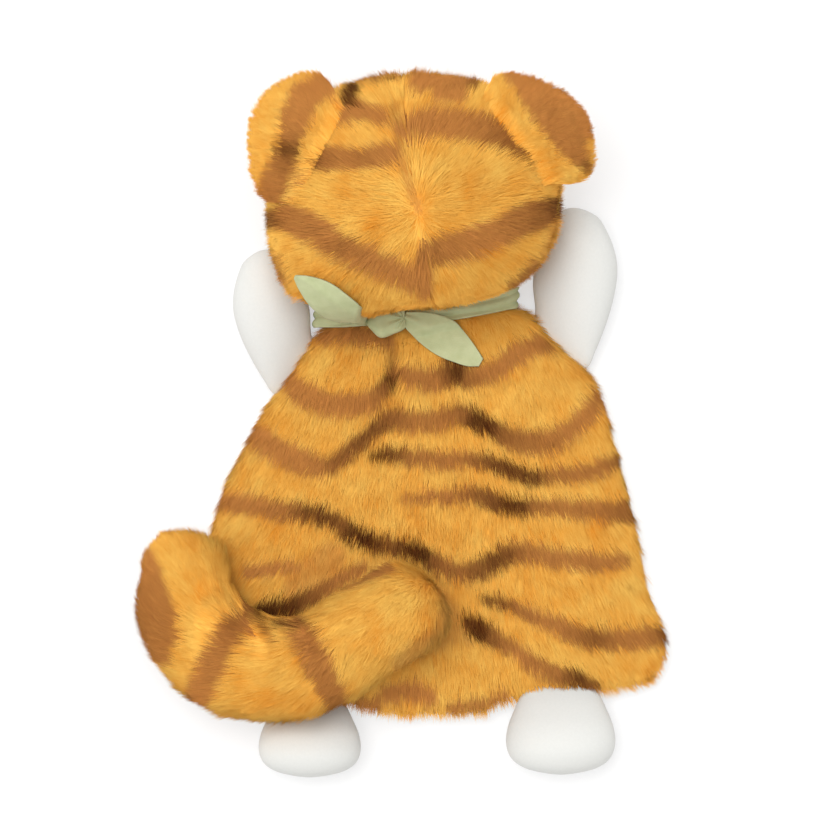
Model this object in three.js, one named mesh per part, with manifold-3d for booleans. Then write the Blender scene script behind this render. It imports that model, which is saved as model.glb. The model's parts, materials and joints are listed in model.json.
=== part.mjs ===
// Plush tiger comforter, a flat stuffed toy lying face down, seen from its back.
// X runs across the toy, Y from the hem to the crown of the head, Z up from the floor.
// The origin is on the floor, under the middle of the belly. All lengths are millimetres.
// Every stuffed piece is a cover of plush panels round a filling: the panels meet at slits
// one stitch wide, and each limb turns about the seam that sews it on.

import * as THREE from 'three';
import Module from 'manifold-3d';
import { mergeVertices } from 'three/addons/utils/BufferGeometryUtils.js';

const wasm = await Module();
wasm.setup();

// Cloth, seams and clearances
const longPile = 7;
const shortPile = 3;
const stitchGap = 0.3;
const hingeGap = 0.4;
const pressedFlat = 0.5;
const cutReach = 400;

// Body: a flat trapezoid pillow, narrow at the neck and wide at the hem
const bodyHalfWidth = 103;
const bodyHalfLength = 86;
const bodyMiddleY = 2;
const bodySeamZ = 8;
const bodyBackCrown = 11;
const bodyEdgeShare = 0.62;
const bodyOutlineShares = [
  [-0.388, 0.907], [-0.194, 0.983], [0.194, 1.006], [0.417, 1.0], [0.563, 0.849],
  [0.699, 0.686], [0.762, 0.535], [0.845, 0.198], [0.903, -0.116], [0.947, -0.384],
  [1.015, -0.64], [0.981, -0.779], [0.874, -0.849], [0.583, -0.901], [0.369, -0.927],
  [0.252, -0.985], [-0.078, -0.995], [-0.301, -0.953], [-0.65, -0.953], [-0.903, -0.884],
  [-0.99, -0.721], [-0.942, -0.407], [-0.85, -0.093], [-0.786, 0.151], [-0.685, 0.395],
  [-0.583, 0.587],
];
const bodySides = 36;
const bodyRings = 4;

// Neck: a flat roll of cloth between body and head, with the nodding seam at its lower edge
const neckRoll = 6;
const neckHalfWidth = 26;
const neckLength = 30;

// Head: a ball wider than it is high, hanging over the neck
const headHalfWidth = 62;
const headHalfHeight = 51.5;
const headShiftX = -1;
const headRise = 39.6;
const headSeamZ = 49;
const headBackCrown = 41;
const headFaceCrown = 41;
const headEdgeShare = 0.91;
const headOutlineShares = [
  [0.016, 1.008], [0.42, 0.94], [0.69, 0.746], [0.887, 0.454], [0.984, 0.124],
  [0.984, -0.167], [0.935, -0.4], [0.823, -0.614], [0.645, -0.779], [0.419, -0.905],
  [0.145, -0.983], [-0.145, -1.01], [-0.435, -1.01], [-0.66, -0.98], [-0.806, -0.876],
  [-0.919, -0.691], [-0.992, -0.429], [-1.016, -0.148], [-0.984, 0.183], [-0.887, 0.474],
  [-0.694, 0.765], [-0.387, 0.95],
];
const headSides = 24;
const headRings = 5;
const headPanelRise = 4;
const headSeamTurn = THREE.MathUtils.degToRad(8);
const headNodDegrees = 20;

// Face, on the side that lies on the floor
const muzzleHalfWidth = 28;
const muzzleHalfHeight = 20;
const muzzleHalfDepth = 17;
const muzzlePlaceShares = [0, -0.25];
const noseHalfWidth = 8;
const noseHalfHeight = 5;
const noseHalfDepth = 4;
const nosePlaceShares = [0, 0.06];
const eyeHalfSize = 5.5;
const eyeHalfDepth = 3.5;
const eyePlaceShares = [0.4, 0.26];
const faceSides = 14;
const faceRings = 3;

// Ears: flat lobes of two cloths, sewn to the back of the head on a slanting seam, with ends bent down
const earRoot = 4;
const earHalfThickness = 5.6;
const earHalfLength = 30;
const earLeftReach = 29;
const earRightReach = 27.5;
const earSlant = 4.5;
const earBend = 10;
const earLift = 1.9;
const earDroop = THREE.MathUtils.degToRad(-6);
const earStationShares = [
  [0, 0.94, 0.72, 0], [0.2, 1, 0.96, 0], [0.4, 0.95, 1, 0], [0.62, 0.78, 0.95, 0],
  [0.82, 0.53, 0.8, 0], [0.94, 0.3, 0.55, 0],
];
const earSlantShares = [0, 0.4, 0.75, 1, 1.1, 1.15];
const ears = [
  { side: 'left', placeShares: [-0.716, 0.357], faces: THREE.MathUtils.degToRad(152.9),
    reach: earLeftReach },
  { side: 'right', placeShares: [0.72, 0.48], faces: THREE.MathUtils.degToRad(37),
    reach: earRightReach },
];
const earSwingDegrees = [-10, 0, 15, 40];
const earSides = 14;

// Arms: white paws sewn into the side seams below the neck, pointing up beside the cheeks
const armRoot = 4;
const armHalfThickness = 12;
const armSeamZ = 9;
const armRise = 6.6;
const armLeftReach = 42;
const armLeftHalfLength = 19.2;
const armLeftSlant = 21;
const armRightReach = 48;
const armRightHalfLength = 21;
const armRightSlant = 23;
const armStationShares = [
  [0, 0.75, 0.33, 0], [0.18, 0.92, 0.68, 0.33], [0.4, 1, 0.94, 0.56], [0.63, 0.96, 1, 0.68],
  [0.84, 0.76, 0.8, 0.7], [0.95, 0.42, 0.5, 0.72],
];
const armSlantShares = [0, -0.28, -0.56, -0.8, -1, -1.1];
const arms = [
  { side: 'left', placeShares: [-0.51, 0.705], faces: THREE.MathUtils.degToRad(145.8),
    reach: armLeftReach, halfLength: armLeftHalfLength, slant: armLeftSlant, towardsHead: -1 },
  { side: 'right', placeShares: [0.583, 0.823], faces: THREE.MathUtils.degToRad(44.3),
    reach: armRightReach, halfLength: armRightHalfLength, slant: armRightSlant, towardsHead: 1 },
];
const armSwingDegrees = [-75, -60, -45, -30, -15, 0];
const armSides = 12;

// Legs: white feet sewn under the hem
const legRoot = 5;
const legHalfThickness = 15;
const legSeamZ = 9;
const legRise = 7.6;
const legLeftReach = 33;
const legLeftHalfLength = 21.5;
const legRightReach = 37.5;
const legRightHalfLength = 23;
const legStationShares = [
  [0, 0.66, 0.33, 0], [0.22, 0.82, 0.62, 0.5], [0.45, 0.97, 0.88, 0.85], [0.68, 1, 1, 1],
  [0.86, 0.84, 0.86, 1], [0.96, 0.5, 0.55, 1],
];
const legs = [
  { side: 'left', placeShares: [-0.442, -0.925], reach: legLeftReach, halfLength: legLeftHalfLength },
  { side: 'right', placeShares: [0.583, -0.86], reach: legRightReach, halfLength: legRightHalfLength },
];
// Turns of the two loops that roll a limb's root round its seam line, as shares of a quarter turn
const rootTurnShares = [0.25, 0.588];
const legSwingDegrees = [-60, -30, 0, 15];
const legSides = 12;

// Tail: a fat stuffed tube, sewn on at its round base and lying bent over a corner of the body
const tailRadius = 20;
const tailPathShares = [
  [-0.06, -0.48, 0], [-0.19, -0.57, 0.02], [-0.36, -0.7, -0.06], [-0.56, -0.765, -0.2],
  [-0.77, -0.705, -0.4], [-0.91, -0.53, -0.5], [-0.94, -0.34, -0.52],
];
const tailSwellShares = [1, 1.02, 1.06, 1.12, 1.18, 1.14, 0.98];
const tailSides = 12;
const tailSteps = 10;
const tailCapSteps = 3;

// Scarf: a cotton strip round the neck, a knot on the back and two leaf-shaped ends
const clothThickness = 2;
const bandWidthShare = 0.4563;
const bandHalfHeight = 8.6;
const bandWidth = 9;
const bandTilt = THREE.MathUtils.degToRad(7);
const bandPlaceShares = [0.015, 0.945];
const bandMiddleZ = 9.1;
const bandSides = 26;
const knotHalfWidth = 9;
const knotHalfHeight = 7;
const knotHalfDepth = 5;
const knotPlaceShares = [-0.13, 0.914];
const knotSides = 14;
const knotRings = 3;
const leafHalfWidth = 6.4;
const leafTipHalfWidth = 4.5;
const leafDownStartShares = [-0.028, 0.882];
const leafDownEndShares = [0.262, 0.7];
const leafUpStartShares = [-0.37, -1.0];
const leafUpEndShares = [-0.79, -0.72];
const leafSteps = 5;

// Colours of the cloths
const orangeFur = { color: 0xeba445, roughness: 0.95, metalness: 0 };
const creamFur = { color: 0xf3e6cf, roughness: 0.95, metalness: 0 };
const whitePlush = { color: 0xededeb, roughness: 0.95, metalness: 0 };
const sageCotton = { color: 0xb9bf92, roughness: 0.9, metalness: 0 };
const fibreFill = { color: 0xf7f7f5, roughness: 1, metalness: 0 };
const brownThread = { color: 0x4a1a15, roughness: 0.6, metalness: 0 };
const blackEye = { color: 0x161412, roughness: 0.2, metalness: 0 };

const quarterTurn = Math.PI / 2;
const up = new THREE.Vector3(0, 0, 1);

// A closed solid for joining and cutting, from a geometry
function solidOf(geometry) {
  const bare = geometry.clone();
  bare.deleteAttribute('normal');
  bare.deleteAttribute('uv');
  const merged = mergeVertices(bare);
  return new wasm.Manifold(new wasm.Mesh({
    numProp: 3,
    vertProperties: new Float32Array(merged.attributes.position.array),
    triVerts: new Uint32Array(merged.index.array),
  }));
}

// The geometry of a solid
function geometryOf(solid) {
  const mesh = solid.getMesh();
  const geometry = new THREE.BufferGeometry();
  geometry.setAttribute('position', new THREE.BufferAttribute(mesh.vertProperties, mesh.numProp));
  geometry.setIndex(new THREE.BufferAttribute(mesh.triVerts, 1));
  geometry.computeVertexNormals();
  return geometry;
}

// The largest body of a solid, without the crumbs that a cut leaves
function largest(solid) {
  const bodies = solid.decompose();
  return bodies.reduce((best, body) => (body.volume() > best.volume() ? body : best));
}

// Six times the signed volume inside a skin of triangles
function sixfoldVolume(points, faces) {
  return faces.reduce((sum, [a, b, c]) => sum + points[a].dot(points[b].clone().cross(points[c])), 0);
}

// A closed skin over loops of equally many points, drawn together at a first and a last point
function skin(loops, first, last) {
  const count = loops[0].length;
  const points = [first, ...loops.flat(), last];
  const end = points.length - 1;
  const faces = [];
  for (let i = 0; i < count; i++) {
    const next = (i + 1) % count;
    faces.push([0, 1 + next, 1 + i]);
    faces.push([end, end - count + i, end - count + next]);
    for (let k = 0; k < loops.length - 1; k++) {
      const here = 1 + k * count;
      const there = here + count;
      faces.push([here + i, here + next, there + next], [here + i, there + next, there + i]);
    }
  }
  const outward = sixfoldVolume(points, faces) > 0 ? faces : faces.map(([a, b, c]) => [a, c, b]);
  const geometry = new THREE.BufferGeometry().setFromPoints(points);
  geometry.setIndex(outward.flat());
  return geometry;
}

// Evenly spread points of the smooth closed line through some plan points
function smoothOutline(corners, count) {
  const line = new THREE.CatmullRomCurve3(corners.map((p) => new THREE.Vector3(p.x, p.y, 0)), true);
  return line.getPoints(count).slice(0, count).map((p) => new THREE.Vector2(p.x, p.y));
}

// A pillow: its outline at the seam, crowned above and below it with rounded edges
function pillow(form, grow) {
  const loops = [];
  for (let k = 1; k < 2 * form.rings; k++) {
    const turn = quarterTurn * (k / form.rings - 1);
    const reach = Math.cos(turn) ** form.edgeShare;
    const lift = Math.sign(turn) * Math.abs(Math.sin(turn)) ** form.edgeShare;
    const crown = (turn < 0 ? form.down : form.up) + grow;
    loops.push(form.outline.map((p) => {
      const out = p.clone().sub(form.centre);
      out.setLength((out.length() + grow) * reach).add(form.centre);
      return new THREE.Vector3(out.x, out.y, form.seamZ + crown * lift);
    }));
  }
  const { x, y } = form.centre;
  const bottom = new THREE.Vector3(x, y, form.seamZ - form.down - grow);
  const top = new THREE.Vector3(x, y, form.seamZ + form.up + grow);
  return solidOf(skin(loops, bottom, top));
}

// How far a pillow's outline lies from its centre, in the direction of a plan vector
function rimDistance(form, out) {
  const direction = out.clone().normalize();
  const reaches = form.outline.map((corner, i) => {
    const from = corner.clone().sub(form.centre);
    const edge = form.outline[(i + 1) % form.outline.length].clone().sub(corner);
    const share = -from.cross(direction) / edge.cross(direction);
    return share >= 0 && share <= 1 ? from.addScaledVector(edge, share).dot(direction) : 0;
  });
  return Math.max(...reaches);
}

// Height share of a pillow's crown over a plan point: one in the middle, zero at the seam
function crownShare(form, place) {
  const out = place.clone().sub(form.centre);
  const share = Math.min(out.length() / rimDistance(form, out), 1);
  return (1 - share ** (2 / form.edgeShare)) ** (form.edgeShare / 2);
}

// An upright ellipsoid with the pillow's grid
function ball(middle, halfX, halfY, halfZ, sides, rings, grow) {
  const outline = [];
  for (let i = 0; i < sides; i++) {
    const bearing = 2 * Math.PI * i / sides;
    const out = new THREE.Vector2(halfX * Math.cos(bearing), halfY * Math.sin(bearing));
    outline.push(out.add(middle));
  }
  const centre = new THREE.Vector2(middle.x, middle.y);
  return pillow({ outline, centre, seamZ: middle.z, up: halfZ, down: halfZ, edgeShare: 1, rings }, grow);
}

// The frame of a sewn-on limb: X along its seam, Y outward, Z through its thickness
function limbFrame(place, z, faces, droop) {
  const level = new THREE.Vector3(Math.cos(faces), Math.sin(faces), 0);
  const outward = level.clone().multiplyScalar(Math.cos(droop)).addScaledVector(up, Math.sin(droop));
  const along = level.clone().cross(up);
  const through = along.clone().cross(outward);
  const frame = new THREE.Matrix4().makeBasis(along, outward, through);
  return frame.setPosition(place.x, place.y, z);
}

// A limb: ellipses that swell and taper outward from a root rolled round the seam line, bent down towards
// both ends of the seam
function limb(form, grow) {
  const root = form.root + grow;
  const longest = Math.max(...form.halfs);
  const stations = [];
  for (const turn of rootTurnShares.map((share) => share * quarterTurn)) {
    stations.push({ out: -root * Math.cos(turn), along: 0, half: form.halfs[0],
      thick: root * Math.sin(turn), rise: 0 });
  }
  form.outs.forEach((out, k) => {
    const tip = out / form.reach * grow;
    stations.push({ out: out + tip, along: form.alongs[k], half: form.halfs[k],
      thick: form.thicks[k] + grow, rise: form.rises[k] });
  });
  const loops = stations.map((station) => {
    const loop = [];
    for (let i = 0; i < form.sides; i++) {
      const bearing = 2 * Math.PI * i / form.sides;
      const x = station.along + (station.half + grow) * Math.cos(bearing);
      const drop = form.bend * (x / longest) ** 2;
      loop.push(new THREE.Vector3(x, station.out, station.rise + station.thick * Math.sin(bearing) - drop));
    }
    return loop;
  });
  const last = stations[stations.length - 1];
  const first = new THREE.Vector3(0, -root, 0);
  const tipDrop = form.bend * (last.along / longest) ** 2;
  const tip = new THREE.Vector3(last.along, form.reach + grow, last.rise - tipDrop);
  return solidOf(skin(loops, first, tip).applyMatrix4(form.frame));
}

// The limb's own sizes, from its table of shares
function limbForm(frame, sizes, shares, slants) {
  return {
    frame,
    root: sizes.root,
    reach: sizes.reach,
    sides: sizes.sides,
    outs: shares.map(([out]) => out * sizes.reach),
    halfs: shares.map(([, half]) => half * sizes.halfLength),
    thicks: shares.map(([, , thick], k) => (k === 0 ? sizes.root : thick * sizes.halfThickness)),
    rises: shares.map(([, , , rise]) => rise * sizes.rise),
    alongs: slants.map((slant) => slant * sizes.slant),
    bend: sizes.bend,
  };
}

// A block that fills one side of a plane: the side that the frame's Z points to
function blockAbove(frame, gap) {
  const block = new THREE.BoxGeometry(cutReach, cutReach, cutReach);
  block.translate(0, 0, cutReach / 2 + gap);
  return solidOf(block.applyMatrix4(frame));
}

// How far a limb reaches along its seam line, over some of its stations
function seamSpan(form, stations) {
  const ends = stations.map((k) => [form.alongs[k] - form.halfs[k], form.alongs[k] + form.halfs[k]]);
  const low = Math.min(...ends.map(([end]) => end)) - hingeGap;
  const high = Math.max(...ends.map(([, end]) => end)) + hingeGap;
  return { length: high - low, middle: (high + low) / 2 };
}

// The room that a limb's root needs in what it is sewn to: a round groove, open outward, with a wall
function hingeRoom(form, open, wall) {
  const root = seamSpan(form, [0, 1]);
  const radius = form.root + hingeGap + wall;
  const groove = new THREE.CylinderGeometry(radius, radius, root.length + 2 * wall, form.sides);
  groove.rotateZ(quarterTurn);
  groove.translate(root.middle, 0, 0);
  const room = solidOf(groove.applyMatrix4(form.frame));
  if (!open) {
    return room;
  }
  const whole = seamSpan(form, [...form.halfs.keys()]);
  const mouth = new THREE.BoxGeometry(whole.length + 2 * wall, cutReach, cutReach);
  mouth.translate(whole.middle, cutReach / 2 - wall, 0);
  return room.add(solidOf(mouth.applyMatrix4(form.frame)));
}

// A limb gives way to its neighbour wherever they meet along its swing
function giveWay(solid, frame, neighbour, swingDegrees) {
  const back = frame.clone().invert();
  return swingDegrees.reduce((rest, degrees) => {
    const swing = new THREE.Matrix4().makeRotationX(-THREE.MathUtils.degToRad(degrees));
    return rest.subtract(neighbour.transform(frame.clone().multiply(swing).multiply(back).elements));
  }, solid);
}

// The two blocks on either side of a seam plane, a stitch apart
function seamBlocks(frame) {
  const flipped = frame.clone().multiply(new THREE.Matrix4().makeRotationX(Math.PI));
  return [blockAbove(frame, stitchGap / 2), blockAbove(flipped, stitchGap / 2)];
}

// The two blocks on either side of a limb's bent middle, a stitch apart
function bentBlocks(form) {
  const half = 2 * Math.max(...form.halfs);
  const drop = 4 * form.bend;
  return [1, -1].map((side) => {
    const z = side * stitchGap / 2;
    const outline = new THREE.Shape();
    outline.moveTo(-half, z - drop);
    outline.quadraticCurveTo(0, z + drop, half, z - drop);
    outline.lineTo(half, side * cutReach);
    outline.lineTo(-half, side * cutReach);
    const settings = { depth: cutReach, bevelEnabled: false, curveSegments: form.sides };
    const block = new THREE.ExtrudeGeometry(outline, settings);
    block.translate(0, 0, -cutReach / 2);
    block.rotateX(quarterTurn);
    return solidOf(block.applyMatrix4(form.frame));
  });
}

function levelFrame(z) {
  return new THREE.Matrix4().makeTranslation(0, 0, z);
}

// The pieces of the toy
const group = new THREE.Group();
const floorBlock = blockAbove(levelFrame(0), 0);

function addPiece(name, solid, finish) {
  const mesh = new THREE.Mesh(geometryOf(largest(solid)), new THREE.MeshStandardMaterial(finish));
  mesh.name = name;
  group.add(mesh);
}

function bodyPlace([across, along]) {
  return new THREE.Vector2(bodyHalfWidth * across, bodyMiddleY + bodyHalfLength * along);
}

const neckY = bodyMiddleY + bodyHalfLength + neckRoll;
const headMiddle = new THREE.Vector2(headShiftX, neckY + headRise);

function headPlace([across, along]) {
  return new THREE.Vector2(headHalfWidth * across, headHalfHeight * along).add(headMiddle);
}

const bodyForm = {
  outline: smoothOutline(bodyOutlineShares.map(bodyPlace), bodySides),
  centre: new THREE.Vector2(0, bodyMiddleY),
  seamZ: bodySeamZ,
  up: bodyBackCrown,
  down: bodySeamZ + pressedFlat,
  edgeShare: bodyEdgeShare,
  rings: bodyRings,
};

const headForm = {
  outline: smoothOutline(headOutlineShares.map(headPlace), headSides),
  centre: headMiddle,
  seamZ: headSeamZ,
  up: headBackCrown,
  down: headFaceCrown,
  edgeShare: headEdgeShare,
  rings: headRings,
};

const neckForm = {
  frame: limbFrame(new THREE.Vector2(0, neckY), bodySeamZ, quarterTurn, 0),
  root: neckRoll,
  reach: neckLength,
  sides: bodySides / 2,
  outs: [0, neckLength / 2],
  halfs: [neckHalfWidth, neckHalfWidth],
  thicks: [neckRoll, neckRoll],
  rises: [0, 0],
  alongs: [0, 0],
  bend: 0,
};

function earForm(ear) {
  const place = headPlace(ear.placeShares);
  const z = headSeamZ + headBackCrown * crownShare(headForm, place) + earLift;
  const frame = limbFrame(place, z, ear.faces, earDroop);
  const sizes = { root: earRoot, reach: ear.reach, sides: earSides, halfLength: earHalfLength,
    halfThickness: earHalfThickness, rise: 0, slant: earSlant, bend: earBend };
  return limbForm(frame, sizes, earStationShares, earSlantShares);
}

function armForm(arm) {
  const frame = limbFrame(bodyPlace(arm.placeShares), bodySeamZ, arm.faces, 0);
  const sizes = { ...arm, root: armRoot, sides: armSides, halfThickness: armHalfThickness,
    rise: armRise, bend: 0 };
  return limbForm(frame, sizes, armStationShares, armSlantShares.map((slant) => slant * arm.towardsHead));
}

function legForm(leg) {
  const frame = limbFrame(bodyPlace(leg.placeShares), bodySeamZ, -quarterTurn, 0);
  const sizes = { ...leg, root: legRoot, sides: legSides, halfThickness: legHalfThickness,
    rise: legRise, slant: 0, bend: 0 };
  return limbForm(frame, sizes, legStationShares, legStationShares.map(() => 0));
}

const earForms = ears.map(earForm);
const armForms = arms.map(armForm);
const legForms = legs.map(legForm);

// The scarf's band: an oval ring round the neck end of the body
function bandRing(grow) {
  const ring = new THREE.Shape();
  const halfX = bodyHalfWidth * bandWidthShare;
  ring.absellipse(0, 0, halfX + grow, bandHalfHeight + grow, 0, 2 * Math.PI);
  const hole = new THREE.Path();
  const inset = clothThickness + grow;
  hole.absellipse(0, 0, halfX - inset, bandHalfHeight - inset, 0, 2 * Math.PI);
  ring.holes.push(hole);
  const depth = bandWidth + 2 * grow;
  const settings = { depth, bevelEnabled: false, curveSegments: bandSides };
  const band = new THREE.ExtrudeGeometry(ring, settings);
  band.translate(0, 0, -depth / 2);
  band.rotateX(quarterTurn);
  band.rotateZ(bandTilt);
  const place = bodyPlace(bandPlaceShares);
  band.translate(place.x, place.y, bandMiddleZ);
  return solidOf(band);
}

const knotMiddle = bodyPlace(knotPlaceShares);
const knotZ = bandMiddleZ + bandHalfHeight + knotHalfDepth / 2;

function knotBall(grow) {
  const middle = new THREE.Vector3(knotMiddle.x, knotMiddle.y, knotZ);
  return ball(middle, knotHalfWidth, knotHalfHeight, knotHalfDepth, knotSides, knotRings, grow);
}

// The notch that the knot presses into the back of the head, wide enough for the nod
function knotNotch() {
  const back = neckY - knotMiddle.y;
  const rise = knotZ - bodySeamZ;
  const distance = Math.hypot(back, rise);
  const half = Math.max(knotHalfHeight, knotHalfDepth) + hingeGap;
  const bearing = Math.PI - Math.atan2(rise, back);
  const spread = Math.asin(Math.min(half / distance, 1));
  const notch = new THREE.Shape();
  const from = bearing - spread - THREE.MathUtils.degToRad(headNodDegrees);
  notch.absarc(0, 0, distance + half, from, Math.PI, false);
  notch.absarc(0, 0, neckRoll + hingeGap, Math.PI, from, true);
  const width = 2 * (knotHalfWidth + hingeGap);
  const settings = { depth: width, bevelEnabled: false, curveSegments: knotSides };
  const wedge = new THREE.ExtrudeGeometry(notch, settings);
  wedge.translate(0, 0, -width / 2);
  wedge.rotateX(quarterTurn);
  wedge.rotateZ(quarterTurn);
  wedge.translate(knotMiddle.x, neckY, bodySeamZ);
  return solidOf(wedge);
}

// A leaf-shaped prism in plan, from a square start to a round tip
function leafPrism(start, end) {
  const length = start.distanceTo(end) - leafTipHalfWidth;
  const leaf = new THREE.Shape();
  leaf.moveTo(0, -leafTipHalfWidth);
  leaf.quadraticCurveTo(length / 2, -2 * leafHalfWidth + leafTipHalfWidth, length, -leafTipHalfWidth);
  leaf.absarc(length, 0, leafTipHalfWidth, -quarterTurn, quarterTurn, false);
  leaf.quadraticCurveTo(length / 2, 2 * leafHalfWidth - leafTipHalfWidth, 0, leafTipHalfWidth);
  const settings = { depth: cutReach, bevelEnabled: false, curveSegments: leafSteps };
  const prism = new THREE.ExtrudeGeometry(leaf, settings);
  prism.rotateZ(end.clone().sub(start).angle());
  prism.translate(start.x, start.y, 0);
  return solidOf(prism);
}

// Cloth lying on a form: the space between the form grown by a gap and by the cloth above it
function clothOn(form, prism) {
  return pillow(form, stitchGap + clothThickness).subtract(pillow(form, stitchGap)).intersect(prism);
}

// The body's pillow with the room for its limbs, its neck and the scarf cut out of it
function bodySolid(grow, wall) {
  const rooms = [...armForms, ...legForms].map((form) => hingeRoom(form, true, wall));
  rooms.push(hingeRoom(neckForm, false, wall), bandRing(stitchGap));
  return rooms.reduce((rest, room) => rest.subtract(room), pillow(bodyForm, grow));
}

// The head's pillow with the room for the ears cut out of it
function headSolid(grow) {
  const rooms = earForms.map((form) => hingeRoom(form, false, -grow));
  return rooms.reduce((rest, room) => rest.subtract(room), pillow(headForm, grow));
}

function makeBody() {
  const cover = bodySolid(0, 0).subtract(bodySolid(-longPile, longPile)).intersect(floorBlock);
  const [above, below] = seamBlocks(levelFrame(bodySeamZ));
  addPiece('body_back_panel', cover.intersect(above), orangeFur);
  addPiece('body_front_panel', cover.intersect(below), creamFur);
  addPiece('body_filling', bodySolid(-longPile - stitchGap, longPile + stitchGap), fibreFill);
}

function makeHead() {
  const outer = headSolid(0).add(limb(neckForm, 0)).subtract(knotNotch());
  const cover = outer.subtract(pillow(headForm, -longPile));
  const [back, face] = seamBlocks(levelFrame(headSeamZ + headPanelRise));
  const seam = new THREE.Matrix4().makeRotationZ(headSeamTurn);
  seam.multiply(new THREE.Matrix4().makeRotationY(quarterTurn)).setPosition(headMiddle.x, headMiddle.y, 0);
  const [right, left] = seamBlocks(seam);
  addPiece('head_back_left', cover.intersect(back).intersect(left), orangeFur);
  addPiece('head_back_right', cover.intersect(back).intersect(right), orangeFur);
  addPiece('head_face_panel', cover.intersect(face), orangeFur);
  addPiece('head_filling', pillow(headForm, -longPile - stitchGap), fibreFill);
}

// Muzzle, nose and eyes, each seated on the face
function makeFace() {
  const faceZ = (place) => headSeamZ - headFaceCrown * crownShare(headForm, place);
  const bigHead = pillow(headForm, stitchGap).add(limb(neckForm, stitchGap));
  const muzzleAt = headPlace(muzzlePlaceShares);
  const muzzleBall = (grow) => {
    const middle = new THREE.Vector3(muzzleAt.x, muzzleAt.y, muzzleHalfDepth - pressedFlat);
    return ball(middle, muzzleHalfWidth, muzzleHalfHeight, muzzleHalfDepth, faceSides, faceRings, grow);
  };
  addPiece('muzzle', muzzleBall(0).subtract(bigHead).intersect(floorBlock), creamFur);
  const noseAt = headPlace(nosePlaceShares);
  const noseMiddle = new THREE.Vector3(noseAt.x, noseAt.y, noseHalfDepth + pressedFlat);
  const nose = ball(noseMiddle, noseHalfWidth, noseHalfHeight, noseHalfDepth, faceSides, faceRings, 0);
  addPiece('nose', nose.subtract(bigHead).subtract(muzzleBall(stitchGap)), brownThread);
  for (const [side, across] of [['left', -1], ['right', 1]]) {
    const place = headPlace([across * eyePlaceShares[0], eyePlaceShares[1]]);
    const middle = new THREE.Vector3(place.x, place.y, faceZ(place));
    const eye = ball(middle, eyeHalfSize, eyeHalfSize, eyeHalfDepth, faceSides, faceRings, 0);
    addPiece(`eye_${side}`, eye.subtract(bigHead), blackEye);
  }
}

function makeEars() {
  earForms.forEach((form, k) => {
    const ear = giveWay(limb(form, 0), form.frame, headSolid(stitchGap), earSwingDegrees);
    const [back, lining] = bentBlocks(form);
    addPiece(`ear_${ears[k].side}_back`, ear.intersect(back), orangeFur);
    addPiece(`ear_${ears[k].side}_lining`, ear.intersect(lining), creamFur);
  });
}

// A limb of two white panels round a filling, with the seam on a level plane
function makeLimb(name, form, seamZ, swingDegrees) {
  const neighbour = bodySolid(stitchGap, -stitchGap).add(bandRing(stitchGap));
  const outer = giveWay(limb(form, 0), form.frame, neighbour, swingDegrees);
  const cover = outer.subtract(limb(form, -shortPile)).intersect(floorBlock);
  const [above, below] = seamBlocks(levelFrame(seamZ));
  addPiece(`${name}_back_panel`, cover.intersect(above), whitePlush);
  addPiece(`${name}_front_panel`, cover.intersect(below), whitePlush);
  addPiece(`${name}_filling`, limb(form, -shortPile - stitchGap), fibreFill);
}

function makeLimbs() {
  armForms.forEach((form, k) => makeLimb(`arm_${arms[k].side}`, form, armSeamZ, armSwingDegrees));
  legForms.forEach((form, k) => makeLimb(`leg_${legs[k].side}`, form, legSeamZ, legSwingDegrees));
}

// The tail's tube: round sections square to its path, with a half ball at each end
function tailTube(grow) {
  const baseZ = bodySeamZ + bodyBackCrown + tailRadius + stitchGap;
  const path = new THREE.CatmullRomCurve3(tailPathShares.map(([across, along, rise]) => {
    const place = bodyPlace([across, along]);
    return new THREE.Vector3(place.x, place.y, baseZ + rise * tailRadius);
  }));
  const radii = tailSwellShares.map((share) => new THREE.Vector2(share * tailRadius, 0));
  const swell = new THREE.SplineCurve(radii);
  const loops = [];
  const addLoop = (middle, tangent, radius) => {
    const side = tangent.clone().cross(up).normalize();
    const over = side.clone().cross(tangent);
    const loop = [];
    for (let i = 0; i < tailSides; i++) {
      const bearing = 2 * Math.PI * i / tailSides;
      loop.push(middle.clone().addScaledVector(side, radius * Math.cos(bearing))
        .addScaledVector(over, radius * Math.sin(bearing)));
    }
    loops.push(loop);
  };
  const cap = (share, direction) => {
    const middle = path.getPoint(share);
    const tangent = path.getTangent(share);
    const radius = swell.getPoint(share).x + grow;
    for (let k = 1; k < tailCapSteps; k++) {
      const turn = quarterTurn * (direction > 0 ? k : tailCapSteps - k) / tailCapSteps;
      const centre = middle.clone().addScaledVector(tangent, direction * radius * Math.sin(turn));
      addLoop(centre, tangent, radius * Math.cos(turn));
    }
    return middle.clone().addScaledVector(tangent, direction * radius);
  };
  const first = cap(0, -1);
  for (let k = 0; k <= tailSteps; k++) {
    const share = k / tailSteps;
    addLoop(path.getPoint(share), path.getTangent(share), swell.getPoint(share).x + grow);
  }
  const last = cap(1, 1);
  return solidOf(skin(loops, first, last));
}

function makeTail() {
  const cover = tailTube(0).subtract(tailTube(-longPile)).subtract(pillow(bodyForm, stitchGap));
  const seamZ = bodySeamZ + bodyBackCrown + tailRadius - longPile;
  const [above, below] = seamBlocks(levelFrame(seamZ));
  addPiece('tail_upper_panel', cover.intersect(above), orangeFur);
  addPiece('tail_lower_panel', cover.intersect(below), orangeFur);
  const filling = tailTube(-longPile - stitchGap).subtract(pillow(bodyForm, longPile));
  addPiece('tail_filling', filling, fibreFill);
}

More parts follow.
